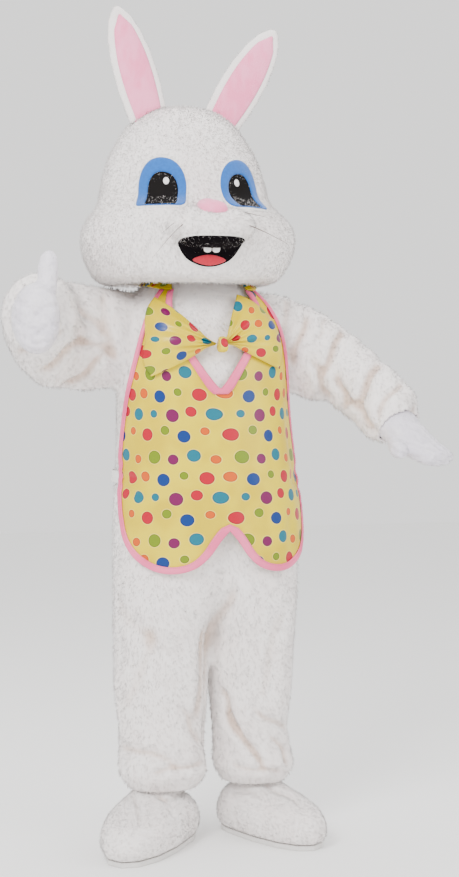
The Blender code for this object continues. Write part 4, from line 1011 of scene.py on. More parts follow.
FELT_THICK = 0.003
GLINT_REACH = 0.092
blue_felt = felt("blue_felt", (0.004, 0.115, 0.44, 1))
white_felt = felt("white_felt", (0.88, 0.86, 0.83, 1))
gauze = eye_gauze()
for word, side in (("right", -1), ("left", 1)):
    middle = (side * EYE_REACH, EYE_HEIGHT)
    arch, window = eye_outline(side), pupil_outline(side)
    backing = felt_patch(
        f"eye_backing_{word}", grown(arch, 0.0045), middle, 0.0010, 0.0016, white_felt, "white_felt", (),
        0.130, head, hole=pupil_outline(side, -0.001),
    )
    felt_patch(
        f"eye_felt_{word}", arch, middle, 0.0028, FELT_THICK, blue_felt, "blue_felt", (f"eye_{word}",),
        0.120, backing, hole=window,
    )
    pupil = felt_patch(
        f"eye_gauze_{word}", pupil_outline(side, 0.0015), middle, 0.0020, 0.0012, gauze, "black_mesh",
        (f"eye_mesh_{word}",), 0.072, head,
    )
    felt_patch(
        f"glint_{word}", oval(0.0070, 0.0085), (side * GLINT_REACH, EYE_HEIGHT + 0.002), 0.0036, 0.0018,
        white_felt, "white_felt", (f"eye_glint_{word}",), 0.012, pupil, sides=32, rows=4,
    )


# Nose and mouth
# A stuffed pink plush nose is sewn on the muzzle. Below it are a black felt mouth on a white backing,
# a red felt tongue and two white felt teeth that stand a little before the mouth.
MOUTH = (
    Outline(0.00, 0.051, 0.026),
    Outline(0.25, 0.000, 0.036),
    Outline(0.50, -0.051, 0.026),
    Outline(0.62, -0.038, -0.012),
    Outline(0.75, 0.000, -0.030),
    Outline(0.88, 0.038, -0.012),
    Outline(1.00, 0.051, 0.026),
)
TONGUE = (
    Outline(0.00, 0.027, -0.001),
    Outline(0.25, 0.000, 0.011),
    Outline(0.50, -0.027, -0.001),
    Outline(0.75, 0.000, -0.013),
    Outline(1.00, 0.027, -0.001),
)
TOOTH = (
    Outline(0.000, 0.0064, 0.000),
    Outline(0.125, 0.0062, 0.013),
    Outline(0.250, 0.0000, 0.014),
    Outline(0.375, -0.0062, 0.013),
    Outline(0.500, -0.0064, 0.000),
    Outline(0.625, -0.0052, -0.009),
    Outline(0.750, 0.0000, -0.012),
    Outline(0.875, 0.0052, -0.009),
    Outline(1.000, 0.0064, 0.000),
)
PINK = (0.93, 0.24, 0.42, 1)
PINK_PALE = (0.95, 0.32, 0.50, 1)
# The third colour is the painted shade for creases.
pink_plush = plush("pink_plush", PINK_PALE, PINK, (0.72, 0.33, 0.38, 1), pile=0.003)
nose_outline = oval(0.0255, 0.0165)
nose_mesh = patch_mesh("nose", nose_outline, (0.0, 1.491), 0.0, 0.004, dome=0.013, rows=10, sides=48)
nose = add_piece("nose_pad", nose_mesh, pink_plush, ("nose",))
black_felt = felt("black_felt", (0.003, 0.002, 0.003, 1), rough=1.0, sheen=0.0, shine=0.08)
red_felt = felt("red_felt", (0.46, 0.002, 0.022, 1))
MOUTH_MIDDLE = (0.0, 1.388)
TEETH_ROOT = 1.392
TEETH_STAND = 0.013
TEETH_WIDEN = 1.45


def tooth_face(reach, height, lift):
    """A place on the flat upright sheet that the teeth hang in, before the mouth."""
    root = on_face(0.0, TEETH_ROOT)
    return root + Vector((reach * TEETH_WIDEN, -TEETH_STAND - lift, height - TEETH_ROOT))


MouthFelt = namedtuple("MouthFelt", "name outline middle base thick paint slot nodes")
BACKING = grown(MOUTH, 0.0040)
TOOTH_LOOK = (0.0054, 0.0030, white_felt, "white_felt")
MOUTH_FELTS = (
    MouthFelt("mouth_backing", BACKING, MOUTH_MIDDLE, 0.0008, 0.0016, white_felt, "white_felt", ()),
    MouthFelt("mouth_felt", MOUTH, MOUTH_MIDDLE, 0.0026, 0.0026, black_felt, "black_felt", ("mouth",)),
    MouthFelt("tongue_felt", TONGUE, (0.0, 1.3745), 0.0054, 0.0024, red_felt, "red_felt", ("tongue",)),
    MouthFelt("tooth_felt_right", TOOTH, (-0.0070, 1.4000), *TOOTH_LOOK, ("tooth_right",)),
    MouthFelt("tooth_felt_left", TOOTH, (0.0070, 1.4000), *TOOTH_LOOK, ("tooth_left",)),
)
below = head
for row in MOUTH_FELTS:
    surface = tooth_face if row.name.startswith("tooth") else on_face
    width = max(point.x for point in row.outline) * 2
    made = felt_patch(*row, width, below, surface=surface)
    below = made if row.name.startswith("mouth") else below


# Whiskers
# Two stiff dark nylon bristles on each side, each tapered to its tip.
# They are held by their roots in the muzzle's stuffing and droop a little by their own weight.
Whisker = namedtuple("Whisker", "name side reach height across drop")
WHISKERS = (
    Whisker("right_high", -1, 0.032, 1.486, 0.081, -0.057),
    Whisker("right_low", -1, 0.045, 1.449, 0.078, -0.079),
    Whisker("left_high", 1, 0.032, 1.486, 0.080, -0.015),
    Whisker("left_low", 1, 0.045, 1.449, 0.089, -0.041),
)
WHISKER_SIDES = 8
WHISKER_STEPS = 24
nylon = speckled("whisker_nylon", 0.35, 0.02, (0.045, 0.022, 0.016, 1), (0.085, 0.040, 0.028, 1))


def rod_faces(first, sides, rings):
    """The faces of a thin closed rod whose rings of points start at a number."""
    faces = []
    for ring in range(rings - 1):
        for turn in range(sides):
            a, b = first + ring * sides + turn, first + ring * sides + (turn + 1) % sides
            faces.append([a, b, b + sides, a + sides])
    faces.append([first + turn for turn in range(sides)][::-1])
    faces.append([first + (rings - 1) * sides + turn for turn in range(sides)])
    return faces


for whisker in WHISKERS:
    root = on_face(whisker.side * whisker.reach, whisker.height, -0.003)
    points = []
    for share in [step / WHISKER_STEPS for step in range(WHISKER_STEPS + 1)]:
        reach = Vector((whisker.side * whisker.across * share, -0.016 * share, whisker.drop * share**1.2))
        radius = 0.0012 * (1 - 0.75 * share)
        for turn in range(WHISKER_SIDES):
            angle = 2 * math.pi * turn / WHISKER_SIDES
            points.append(root + reach + Vector((0, radius * math.cos(angle), radius * math.sin(angle))))
    mesh = bpy.data.meshes.new(whisker.name)
    mesh.from_pydata(points, [], rod_faces(0, WHISKER_SIDES, WHISKER_STEPS + 1))
    add_piece(f"bristle_{whisker.name}", mesh, nylon.material, (f"whisker_{whisker.name}",))


# Ears
# Stuffed white plush backs with a pink plush lining sewn on the front, inside a white border.
# They stand on top of the head and lean out, the left one more.
Ear = namedtuple("Ear", "word x y z lean length")
EARS = (
    Ear("right", -0.066, 0.012, 1.665, -19, 0.325),
    Ear("left", 0.066, 0.012, 1.668, 30, 0.312),
)
EarWidth = namedtuple("EarWidth", "share half_width")
EAR_WIDTHS = (
    EarWidth(-0.10, 0.034),
    EarWidth(0.00, 0.040),
    EarWidth(0.20, 0.049),
    EarWidth(0.42, 0.054),
    EarWidth(0.62, 0.052),
    EarWidth(0.80, 0.042),
    EarWidth(0.91, 0.029),
    EarWidth(0.975, 0.014),
    EarWidth(1.00, 0.004),
)
EAR_BORDER = 0.016
EAR_STEP = 0.0045
EAR_TUFTS = 4000
LINING_COLUMNS = 16
LINING_ROWS = 40


def grid_mesh(name, rows, cloth=None):
    """A single skin through rows of points. cloth gives each point's place on the flat cloth."""
    columns = len(rows[0])
    points = [point for row in rows for point in row]
    faces = []
    for row in range(len(rows) - 1):
        for column in range(columns - 1):
            a = row * columns + column
            faces.append([a, a + 1, a + columns + 1, a + columns])
    mesh = bpy.data.meshes.new(name)
    mesh.from_pydata(points, [], faces)
    if cloth:
        flat = np.array([place for row in cloth for place in row], np.float32)
        mesh.attributes.new("cloth", "FLOAT_VECTOR", "POINT").data.foreach_set("vector", flat.ravel())
    return mesh


for ear in EARS:
    stem = (
        HEAD_TO_ROW
        @ Matrix.Translation((ear.x, ear.y, ear.z))
        @ Matrix.Rotation(math.radians(ear.lean), 4, "Y")
        @ Matrix.Rotation(math.radians(6), 4, "X")
    )
    work = bmesh.new()
    work.from_mesh(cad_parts[f"ear_{ear.word}"].data)
    ear_mesh = remeshed(work, EAR_STEP)
    relaxed(ear_mesh, 6)
    ear_skin = ear_mesh.copy()
    back = add_piece(f"ear_back_{ear.word}", ear_mesh, head_plush, (f"ear_{ear.word}",))
    tree = tree_of(ear_skin)
    ahead = stem.to_3x3() @ Vector((0, 1, 0))
    grid = []
    for row in range(LINING_ROWS + 1):
        share = 0.05 + 0.885 * row / LINING_ROWS
        half = at(EAR_WIDTHS, share).half_width - EAR_BORDER
        half *= min(1.0, math.sqrt(max(0.0, (0.945 - share) / 0.10)))
        line = []
        for column in range(LINING_COLUMNS + 1):
            across = 2 * column / LINING_COLUMNS - 1
            spot = stem @ Vector((across * half, -0.10, share * ear.length))
            found = tree.ray_cast(spot, ahead)[0]
            if found is None:
                found = tree.find_nearest(stem @ Vector((across * half, -0.006, share * ear.length)))[0]
            round_off = max(0.0, 1 - abs(across) ** 3)
            line.append(found - ahead * (0.0012 + 0.0042 * round_off))
        grid.append(line)
    lining_mesh = grid_mesh("ear_lining", grid)
    lining_nodes = (f"ear_inner_{ear.word}",)
    sewn(f"ear_lining_{ear.word}", lining_mesh, pink_plush, lining_nodes,
         thick=0.003, width=0.078)
    pile_on(f"ear_pile_{ear.word}", ear_skin, head_plush, EAR_TUFTS, length=0.006, wide=0.0008, seed=11,
            nap=(0, 0, 1), keep=lambda root, normal: normal @ np.array(ahead) > -0.55)


# Vest
# Yellow satin printed with dots, cut with a deep V and a two-lobed hem, on a halter strap.
# It is a thin shell that lies over the chest, pulled a little at the sides by the waist strap.
SuitRing = namedtuple("SuitRing", "height apart half_width half_depth sway y")
SUIT_RINGS = (
    SuitRing(0.560, 0.098, 0.124, 0.150, 0.000, 0.002),
    SuitRing(0.660, 0.068, 0.155, 0.166, 0.000, 0.000),
    SuitRing(0.780, 0.030, 0.190, 0.172, 0.000, 0.000),
    SuitRing(0.920, 0.004, 0.204, 0.168, -0.006, 0.000),
    SuitRing(1.050, 0.002, 0.198, 0.158, -0.012, 0.000),
    SuitRing(1.160, 0.002, 0.198, 0.150, -0.014, 0.003),
    SuitRing(1.230, 0.002, 0.190, 0.141, -0.015, 0.006),
    SuitRing(1.280, 0.002, 0.170, 0.127, -0.017, 0.008),
    SuitRing(1.312, 0.002, 0.142, 0.112, -0.018, 0.010),
    SuitRing(1.335, 0.002, 0.112, 0.098, -0.019, 0.012),
    SuitRing(1.350, 0.002, 0.098, 0.090, -0.020, 0.012),
)
VestEase = namedtuple("VestEase", "height side front squareness")
VEST_EASE = (
    VestEase(0.60, 0.011, 0.030, 2.2),
    VestEase(0.75, 0.009, 0.024, 2.2),
    VestEase(0.88, 0.009, 0.016, 2.2),
    VestEase(1.00, 0.007, 0.012, 2.3),
    VestEase(1.12, 0.006, 0.010, 2.6),
    VestEase(1.20, 0.007, 0.010, 2.9),
    VestEase(1.26, 0.008, 0.010, 2.8),
    VestEase(1.312, 0.009, 0.009, 2.4),
    VestEase(1.36, 0.006, 0.008, 2.2),
)
VEST_TOP = 1.312
VEST_RADIUS = 0.19
V_BOTTOM = 1.078
V_FLARE = 0.43
VestSide = namedtuple("VestSide", "height reach")
VEST_SIDE = (
    VestSide(0.790, 0.255),
    VestSide(0.860, 0.264),
    VestSide(0.960, 0.262),
    VestSide(1.060, 0.240),
    VestSide(1.120, 0.212),
    VestSide(1.180, 0.182),
    VestSide(1.240, 0.160),
    VestSide(1.290, 0.150),
    VestSide(VEST_TOP, 0.148),
)
VestHem = namedtuple("VestHem", "reach height")
VEST_HEM = (
    VestHem(0.000, 0.752),
    VestHem(0.014, 0.728),
    VestHem(0.032, 0.694),
    VestHem(0.056, 0.668),
    VestHem(0.090, 0.655),
    VestHem(0.130, 0.656),
    VestHem(0.170, 0.671),
    VestHem(0.208, 0.698),
    VestHem(0.238, 0.738),
    VestHem(0.255, 0.790),
)
Pull = namedtuple("Pull", "reach height wide tall slant deep")
VEST_PULLS = (
    Pull(-0.235, 0.905, 0.055, 0.011, 0.25, 0.0040),
    Pull(-0.225, 0.872, 0.065, 0.010, -0.10, 0.0060),
    Pull(-0.220, 0.842, 0.060, 0.010, -0.35, 0.0050),
    Pull(0.235, 0.880, 0.055, 0.012, 0.20, 0.0045),
    Pull(0.225, 0.850, 0.055, 0.010, -0.20, 0.0045),
    Pull(0.036, 0.800, 0.016, 0.060, 0.0, 0.0050),
    Pull(0.075, 0.770, 0.016, 0.050, 0.0, 0.0040),
    Pull(-0.040, 0.765, 0.018, 0.050, 0.0, 0.0040),
    Pull(0.150, 0.740, 0.020, 0.060, 0.0, 0.0050),
    Pull(0.195, 0.930, 0.016, 0.110, 0.0, 0.0035),
    Pull(-0.165, 0.730, 0.022, 0.050, 0.0, 0.0035),
    Pull(-0.012, 1.062, 0.030, 0.007, 0.30, 0.0030),
)


def vest_point(reach, height, lift=0.0):
    """A point on the vest. reach is the distance round from centre front, + to the left."""
    ring, ease = at(SUIT_RINGS, height), at(VEST_EASE, height)
    stand = lift
    for pull in VEST_PULLS:
        along, up = reach - pull.reach, height - pull.height
        up -= pull.slant * along
        stand -= pull.deep * math.exp(-((along / pull.wide) ** 2) - (up / pull.tall) ** 2)
    angle = reach / VEST_RADIUS
    across = (ring.apart + ring.half_width + ease.side + stand) * squared(math.sin(angle), ease.squareness)
    deep = (ring.half_depth + ease.front + stand) * squared(math.cos(angle), ease.squareness)
    return Vector((ring.sway + across, ring.y - deep, height + FLOOR))


def v_reach(height):
    """Half the width of the V neck at a height."""
    return max(0.0, (height - V_BOTTOM) * V_FLARE)


def joined(name, meshes):
    """Several skins as one, welded where they meet."""
    work = bmesh.new()
    for mesh in meshes:
        work.from_mesh(mesh)
    bmesh.ops.remove_doubles(work, verts=work.verts, dist=1e-5)
    made = bpy.data.meshes.new(name)
    work.to_mesh(made)
    work.free()
    return made


Dot = namedtuple("Dot", "x y radius paint")
DOT_TILE = (0.176, 0.192)
CRIMSON = (0.42, 0.0, 0.018, 1)
ROYAL = (0.002, 0.030, 0.17, 1)
TEAL = (0.0, 0.13, 0.19, 1)
PURPLE = (0.14, 0.004, 0.065, 1)
LIME = (0.15, 0.22, 0.0, 1)
ORANGE = (0.60, 0.085, 0.0, 1)
DOTS = (
    Dot(0.012, 0.014, 0.0147, CRIMSON),
    Dot(0.058, 0.024, 0.0106, LIME),
    Dot(0.100, 0.010, 0.0143, ROYAL),
    Dot(0.144, 0.022, 0.0092, ORANGE),
    Dot(0.032, 0.062, 0.0092, TEAL),
    Dot(0.078, 0.058, 0.0152, PURPLE),
    Dot(0.120, 0.067, 0.0120, CRIMSON),
    Dot(0.163, 0.061, 0.0143, TEAL),
    Dot(0.006, 0.109, 0.0120, ORANGE),
    Dot(0.051, 0.102, 0.0147, ROYAL),
    Dot(0.096, 0.112, 0.0092, LIME),
    Dot(0.141, 0.106, 0.0147, CRIMSON),
    Dot(0.030, 0.154, 0.0152, LIME),
    Dot(0.074, 0.149, 0.0120, PURPLE),
    Dot(0.118, 0.158, 0.0143, TEAL),
    Dot(0.160, 0.149, 0.0101, ORANGE),
)


def satin(name, colour, shade, dots=()):
    """Satin: smooth glossy weave. Each dot is printed with a darker rim and a pale halo."""
    paint = Surface(name, Roughness=0.30, Anisotropic=0.5)
    paint.shader.inputs["Specular IOR Level"].default_value = 0.32
    spot = paint.own_place()
    base = paint.blend(paint.ramp(paint.noise(spot, 0.09), 0.35, 0.65), shade, colour)
    if dots:
        cloth = paint.node("ShaderNodeAttribute", output=1, attribute_name="cloth")
        half = (DOT_TILE[0] / 2, DOT_TILE[1] / 2, 1.0)
        other_half = tuple(-h for h in half)
        for dot in dots:
            off = cloth - (dot.x, dot.y, 0.0)
            near = paint.node("ShaderNodeVectorMath", {0: off, 1: half, 2: other_half}, operation="WRAP")
            away = paint.node("ShaderNodeVectorMath", {0: near}, output=1, operation="LENGTH")
            halo = 1.0 - paint.ramp(away, dot.radius + 0.0005, dot.radius + 0.0022)
            body = 1.0 - paint.ramp(away, dot.radius - 0.0005, dot.radius + 0.0004)
            rim = paint.ramp(away, dot.radius - 0.0026, dot.radius - 0.0012)
            dark = tuple(c * 0.55 for c in dot.paint[:3]) + (1,)
            base = paint.blend(halo * 0.55, base, (0.86, 0.70, 0.22, 1))
            base = paint.blend(body, base, paint.blend(rim * 0.8, dot.paint, dark))
    paint.feed("Base Color", base)
    weave = paint.noise(spot * (1.0, 1.0, 6.0), 0.0022, detail=1)
    paint.feed("Normal", paint.bump(weave, 0.00012, 0.5))
    return paint.material


YELLOW = (0.72, 0.555, 0.0, 1)
YELLOW_SHADE = (0.62, 0.45, 0.0, 1)
dotted_satin = satin("dotted_satin", YELLOW, YELLOW_SHADE, DOTS)
pink_satin = satin("pink_satin", (0.88, 0.16, 0.32, 1), (0.80, 0.11, 0.26, 1))
VEST_EDGE = 0.005
VEST_TURN = V_BOTTOM - VEST_EDGE
ROWS_BELOW = 70
ROWS_ABOVE = 40
VEST_COLUMNS = 36


def vest_spot(row, share):
    """Where a point of the vest's half lies: reach and height, share of the way to the side edge."""
    if row <= ROWS_BELOW:
        rise = row / ROWS_BELOW
        low = at(VEST_HEM, share * VEST_HEM[-1].reach).height + VEST_EDGE
        height = low + (VEST_TURN - low) * rise
        inner = VEST_HEM[-1].reach + (at(VEST_SIDE, VEST_TURN).reach - VEST_HEM[-1].reach) * rise
        outer = at(VEST_SIDE, height).reach if height > VEST_SIDE[0].height else inner
        widest = inner + (outer - inner) * share**6
        return share * (widest - VEST_EDGE), height
    rise = (row - ROWS_BELOW) / ROWS_ABOVE
    height = V_BOTTOM - VEST_EDGE + (VEST_TOP - V_BOTTOM + VEST_EDGE) * rise
    near = max(0.0, v_reach(height) + VEST_EDGE * min(1.0, 3 * rise) * 0.6)
    return near + (at(VEST_SIDE, height).reach - VEST_EDGE - near) * share, height


halves = []
for side in (-1, 1):
    rows, cloth = [], []
    for row in range(ROWS_BELOW + ROWS_ABOVE + 1):
        spots = [vest_spot(row, column / VEST_COLUMNS) for column in range(VEST_COLUMNS + 1)]
        spots = spots[::-1] if side < 0 else spots
        rows.append([vest_point(side * reach, height, 0.002) for reach, height in spots])
        cloth.append([(side * reach, height, 0.0) for reach, height in spots])
    halves.append(grid_mesh("vest_half", rows, cloth))
vest_mesh = joined("vest", halves)
vest = sewn("vest", vest_mesh, dotted_satin, ("vest_front",),
            thick=0.0016, width=0.52)


# Vest's bindings and stitching
# A folded band of pink satin over the outer edge, and one over the V neck, topstitched with pink thread.
def ways_in(path, sign):
    """Unit vectors at right angles to a path, on the side that sign gives."""
    ways = []
    for i in range(len(path)):
        a, b = path[max(i - 2, 0)], path[min(i + 2, len(path) - 1)]
        size = math.hypot(b[0] - a[0], b[1] - a[1])
        ways.append((sign * (b[1] - a[1]) / size, -sign * (b[0] - a[0]) / size))
    return ways


def evenly(path, step):
    """Points at even steps along a path of (reach, height) points."""
    runs = [0.0]
    for a, b in zip(path, path[1:]):
        runs.append(runs[-1] + math.hypot(b[0] - a[0], b[1] - a[1]))
    stops = np.linspace(0, runs[-1], max(2, round(runs[-1] / step)) + 1)
    reaches = np.interp(stops, runs, [p[0] for p in path])
    heights = np.interp(stops, runs, [p[1] for p in path])
    return [(float(r), float(h)) for r, h in zip(reaches, heights)]


BINDING_WIDTH = 0.016
BindingEdge = namedtuple("BindingEdge", "share top under")
BINDING_EDGES = (
    BindingEdge(-0.04, 0.0030, 0.0008),
    BindingEdge(0.02, 0.0050, 0.0004),
    BindingEdge(0.12, 0.0064, 0.0026),
    BindingEdge(0.30, 0.0070, 0.0030),
    BindingEdge(0.55, 0.0072, 0.0030),
    BindingEdge(0.80, 0.0066, 0.0030),
    BindingEdge(0.95, 0.0054, 0.0030),
    BindingEdge(1.00, 0.0038, 0.0030),
)
SEAM_SHARE = 0.84
STITCH_PITCH = 0.0042
STITCH_RADIUS = 0.00042
STITCH_SIDES = 5
StitchRing = namedtuple("StitchRing", "share size rise")
STITCH_RINGS = (
    StitchRing(0.0, 0.3, -0.0004),
    StitchRing(0.2, 1.0, 0.0),
    StitchRing(0.8, 1.0, 0.0),
    StitchRing(1.0, 0.3, -0.0004),
)


def bind(name, node, path, sign, area_width):
    """A binding along an edge. It gives back the line near its inner edge where its stitches go."""
    path = evenly(path, 0.006)
    ways = ways_in(path, sign)
    top, under = [], []
    for step, ((reach, height), way) in enumerate(zip(path, ways)):
        ripple = 0.0006 * math.sin(step * 1.7) * math.sin(step * 0.43 + 1)
        line_top, line_under = [], []
        for edge in BINDING_EDGES:
            width = BINDING_WIDTH * edge.share
            at_edge = (reach + way[0] * width, height + way[1] * width)
            line_top.append(vest_point(*at_edge, edge.top + ripple * min(1, 4 * edge.share)))
            line_under.append(vest_point(*at_edge, edge.under))
        top.append(line_top)
        under.append(line_under)
    area = skin_area(grid_mesh("rough", top))
    loop = [row + list(reversed(low)) for row, low in zip(top, under)]
    mesh = tube_mesh(name, loop)
    piece = add_piece(name, mesh, pink_satin, (node,))
    cut_of(area, area_width)
    seam = BINDING_WIDTH * SEAM_SHARE
    return [(reach + way[0] * seam, height + way[1] * seam) for (reach, height), way in zip(path, ways)]


def stitches(name, line, lift, material):
    """A row of thread stitches along a line of (reach, height) points on the vest, as one piece."""
    line = evenly(line, STITCH_PITCH)
    points, faces = [], []
    for a, b in zip(line, line[1:]):
        start = vest_point(a[0] + (b[0] - a[0]) * 0.12, a[1] + (b[1] - a[1]) * 0.12, lift)
        end = vest_point(a[0] + (b[0] - a[0]) * 0.84, a[1] + (b[1] - a[1]) * 0.84, lift)
        up = (vest_point(a[0], a[1], lift + 0.01) - vest_point(a[0], a[1], lift)).normalized()
        side = (end - start).cross(up).normalized()
        faces += rod_faces(len(points), STITCH_SIDES, len(STITCH_RINGS))
        for ring in STITCH_RINGS:
            middle = start.lerp(end, ring.share) + up * ring.rise
            for turn in range(STITCH_SIDES):
                angle = 2 * math.pi * turn / STITCH_SIDES
                out = side * math.cos(angle) + up * math.sin(angle)
                points.append(middle + out * STITCH_RADIUS * ring.size)
    mesh = bpy.data.meshes.new(name)
    mesh.from_pydata(points, [], faces)
    return add_piece(name, mesh, material)


pink_thread = speckled("pink_thread", 0.6, 0.001, (0.62, 0.09, 0.20, 1), (0.74, 0.14, 0.27, 1))
HEM_STOPS = spread(0.2535, 0.0, 60)
side_edge = [(at(VEST_SIDE, height).reach, height) for height in spread(VEST_TOP, VEST_SIDE[0].height, 60)]
hem_edge = [(reach, at(VEST_HEM, reach).height) for reach in HEM_STOPS]
half_edge = side_edge + hem_edge
outer_edge = half_edge + [(-reach, height) for reach, height in reversed(half_edge[:-1])]
neck_half = [(v_reach(height), height) for height in spread(VEST_TOP, V_BOTTOM, 30)]
neck_edge = neck_half + [(-reach, height) for reach, height in reversed(neck_half[:-1])]
BINDING_CUT = 0.034
STITCH_LIFT = 0.0072
outer_line = bind("binding_outer", "vest_binding_outer", outer_edge, 1, BINDING_CUT)
neck_line = bind("binding_neck", "vest_binding_neck", neck_edge, -1, BINDING_CUT)
stitches("stitches_outer", outer_line, STITCH_LIFT, pink_thread.material)
stitches("stitches_neck", neck_line, STITCH_LIFT, pink_thread.material)


# Vest's straps
# A satin halter strap round the nape, and a flat white elastic round the small of the back.
StrapRow = namedtuple("StrapRow", "turn inner_reach inner_height outer_reach outer_height")
NECK_STRAP = (
    StrapRow(0.00, 0.104, VEST_TOP, 0.147, VEST_TOP),
    StrapRow(0.15, 0.130, 1.330, 0.180, 1.316),
    StrapRow(0.35, 0.200, 1.343, 0.235, 1.321),
    StrapRow(0.60, 0.320, 1.347, 0.330, 1.325),
    StrapRow(0.80, 0.460, 1.347, 0.460, 1.326),
    StrapRow(1.00, 0.597, 1.347, 0.597, 1.326),
)
strap_rows, strap_cloth = [], []
for turn in spread(-1, 1, 120):
    row = at(NECK_STRAP, 1 - abs(turn))
    side = -1 if turn < 0 else 1
    line, flat = [], []
    for share in spread(0, 1, 8):
        reach = row.inner_reach + (row.outer_reach - row.inner_reach) * share
        height = row.inner_height + (row.outer_height - row.inner_height) * share
        puff = 0.0016 * math.sin(math.pi * share) + 0.0005 * math.sin(reach * 90) * share
        line.append(vest_point(side * reach, height, 0.0030 + puff))
        flat.append((side * reach, height * 2, 0.0))
    strap_rows.append(line)
    strap_cloth.append(flat)
strap_mesh = grid_mesh("neck_strap", strap_rows, strap_cloth)
side_face = strap_mesh.polygons[40 * 8]
if side_face.normal.dot(side_face.center - Vector((0, 0.01, 0.03))) < 0:
    strap_mesh.flip_normals()
sewn("halter_strap", strap_mesh, dotted_satin, ("neck_strap",),
     thick=0.0018, width=0.045)
WAIST_HEIGHT = 0.872
WAIST_STRAP_WIDTH = 0.028


def waist_point(angle, height, lift):
    """A point over the suit's waist. angle is the turn from centre front."""
    ring = at(SUIT_RINGS, height)
    across = (ring.apart + ring.half_width + lift) * squared(math.sin(angle))
    deep = (ring.half_depth + lift) * squared(math.cos(angle))
    return Vector((ring.sway + across, ring.y - deep, height + FLOOR))


strap_start = at(VEST_SIDE, WAIST_HEIGHT).reach / VEST_RADIUS + math.radians(0.6)
rows, cloth = [], []
for angle in spread(strap_start, 2 * math.pi - strap_start, 140):
    line, flat = [], []
    for share in spread(-0.5, 0.5, 12):
        height = WAIST_HEIGHT + share * WAIST_STRAP_WIDTH
        ribs = 0.0003 * math.cos(share * 2 * math.pi * 6)
        line.append(waist_point(angle, height, 0.0085 + ribs))
        flat.append((angle * VEST_RADIUS, height, 0.0))
    rows.append(line)
    cloth.append(flat)
waist_mesh = grid_mesh("waist_strap", rows, cloth)
if waist_mesh.polygons[0].normal.x < 0:
    waist_mesh.flip_normals()


def ribbed(name, rough, sheen, scale, dark, pale, depth, strength):
    """A woven band whose ribs run along it."""
    paint = Surface(name, Roughness=rough, Sheen_Weight=sheen)
    cloth = paint.node("ShaderNodeAttribute", output=1, attribute_name="cloth")
    ribs = paint.node("ShaderNodeTexWave", {"Vector": cloth, "Scale": scale}, bands_direction="X")
    paint.feed("Base Color", paint.blend(ribs, dark, pale))
    paint.feed("Normal", paint.bump(ribs, depth, strength))
    return paint.material


elastic = ribbed("white_elastic", 0.75, 0.2, 180.0, (0.72, 0.70, 0.68, 1), (0.84, 0.82, 0.80, 1), 0.0003, 0.6)
sewn("waist_elastic", waist_mesh, elastic, ("waist_strap",),
     thick=0.0014, width=WAIST_STRAP_WIDTH)


# Bow tie
# Two halves of the same satin, lightly stuffed, pleated towards a knot that gathers them at the V.
KNOT_X = -0.012
KNOT_HEIGHT = 1.182
BOW_LIFT = 0.009
BowRay = namedtuple("BowRay", "turn degrees length thick")
RIGHT_BOW = (
    BowRay(0.0, 205, 0.176, 0.006),
    BowRay(0.2, 193, 0.181, 0.026),
    BowRay(0.5, 175, 0.172, 0.034),
    BowRay(0.8, 154, 0.182, 0.026),
    BowRay(1.0, 142, 0.180, 0.006),
)
LEFT_BOW = (
    BowRay(0.0, -20, 0.164, 0.006),
    BowRay(0.2, -5, 0.160, 0.026),
    BowRay(0.5, 20, 0.148, 0.034),
    BowRay(0.8, 50, 0.136, 0.026),
    BowRay(1.0, 66, 0.130, 0.006),
)
Pleat = namedtuple("Pleat", "turn wide deep reach")
BOW_PLEATS = (
    Pleat(0.16, 0.050, 0.0070, 0.50),
    Pleat(0.31, 0.045, 0.0090, 0.75),
    Pleat(0.46, 0.050, 0.0080, 0.42),
    Pleat(0.62, 0.050, 0.0100, 0.85),
    Pleat(0.78, 0.045, 0.0080, 0.55),
    Pleat(0.90, 0.035, 0.0050, 0.40),
)


def vest_front_y(x, height, lift=0.0):
    """How far forward the vest's surface is at a given x."""
    ring, ease = at(SUIT_RINGS, height), at(VEST_EASE, height)
    share = abs(x - ring.sway) / (ring.apart + ring.half_width + ease.side + lift)
    rest = max(0.0, 1 - min(share, 0.995) ** ease.squareness) ** (1 / ease.squareness)
    return ring.y - (ring.half_depth + ease.front + lift) * rest


def bow_loops(rays):
    """Loops of points from the knot outwards, front then back, and each point's place on the cloth."""
    middle = math.radians(at(rays, 0.5).degrees)
    turns = spread(0, 1, 56)
    loops, cloth = [], []
    for share in spread(0.085, 0.90, 40) + [0.925, 0.95, 0.97, 0.985, 0.994]:
        front, back, flats = [], [], []
        for turn in turns:
            ray = at(rays, turn)
            angle = math.radians(ray.degrees)
            gathered = 1 - 0.35 * math.exp(-((share / 0.35) ** 2))
            angle = middle + (angle - middle) * (0.55 + 0.45 * min(1, share / 0.30)) * gathered
            length = ray.length * share
            x = KNOT_X + length * math.cos(angle)
            height = KNOT_HEIGHT + length * math.sin(angle)
            rounded = math.sqrt(max(0.0, 1 - (max(0.0, share - 0.6) / 0.42) ** 2))
            thick = ray.thick * rounded * min(1.0, 0.55 + share)
            for pleat in BOW_PLEATS:
                near = math.exp(-(((turn - pleat.turn) / (pleat.wide * (0.7 + share))) ** 2))
                fade = math.exp(-((max(0.0, share - 0.1) / pleat.reach) ** 2))
                thick -= pleat.deep * near * fade
            thick += 0.002 * math.sin(9 * turn + 5 * share) * share
            thick = max(0.0035, thick)
            y = vest_front_y(x, height, BOW_LIFT)
            front.append(Vector((x, y - thick, height + FLOOR)))
            back.append(Vector((x, y, height + FLOOR)))
            unfolded = middle + (math.radians(ray.degrees) - middle) * 1.25
            flats.append((length * 1.12 * math.cos(unfolded), length * 1.12 * math.sin(unfolded), 0.0))
        loops.append(front + back[::-1])
        cloth.append(flats + flats[::-1])
    return loops, cloth


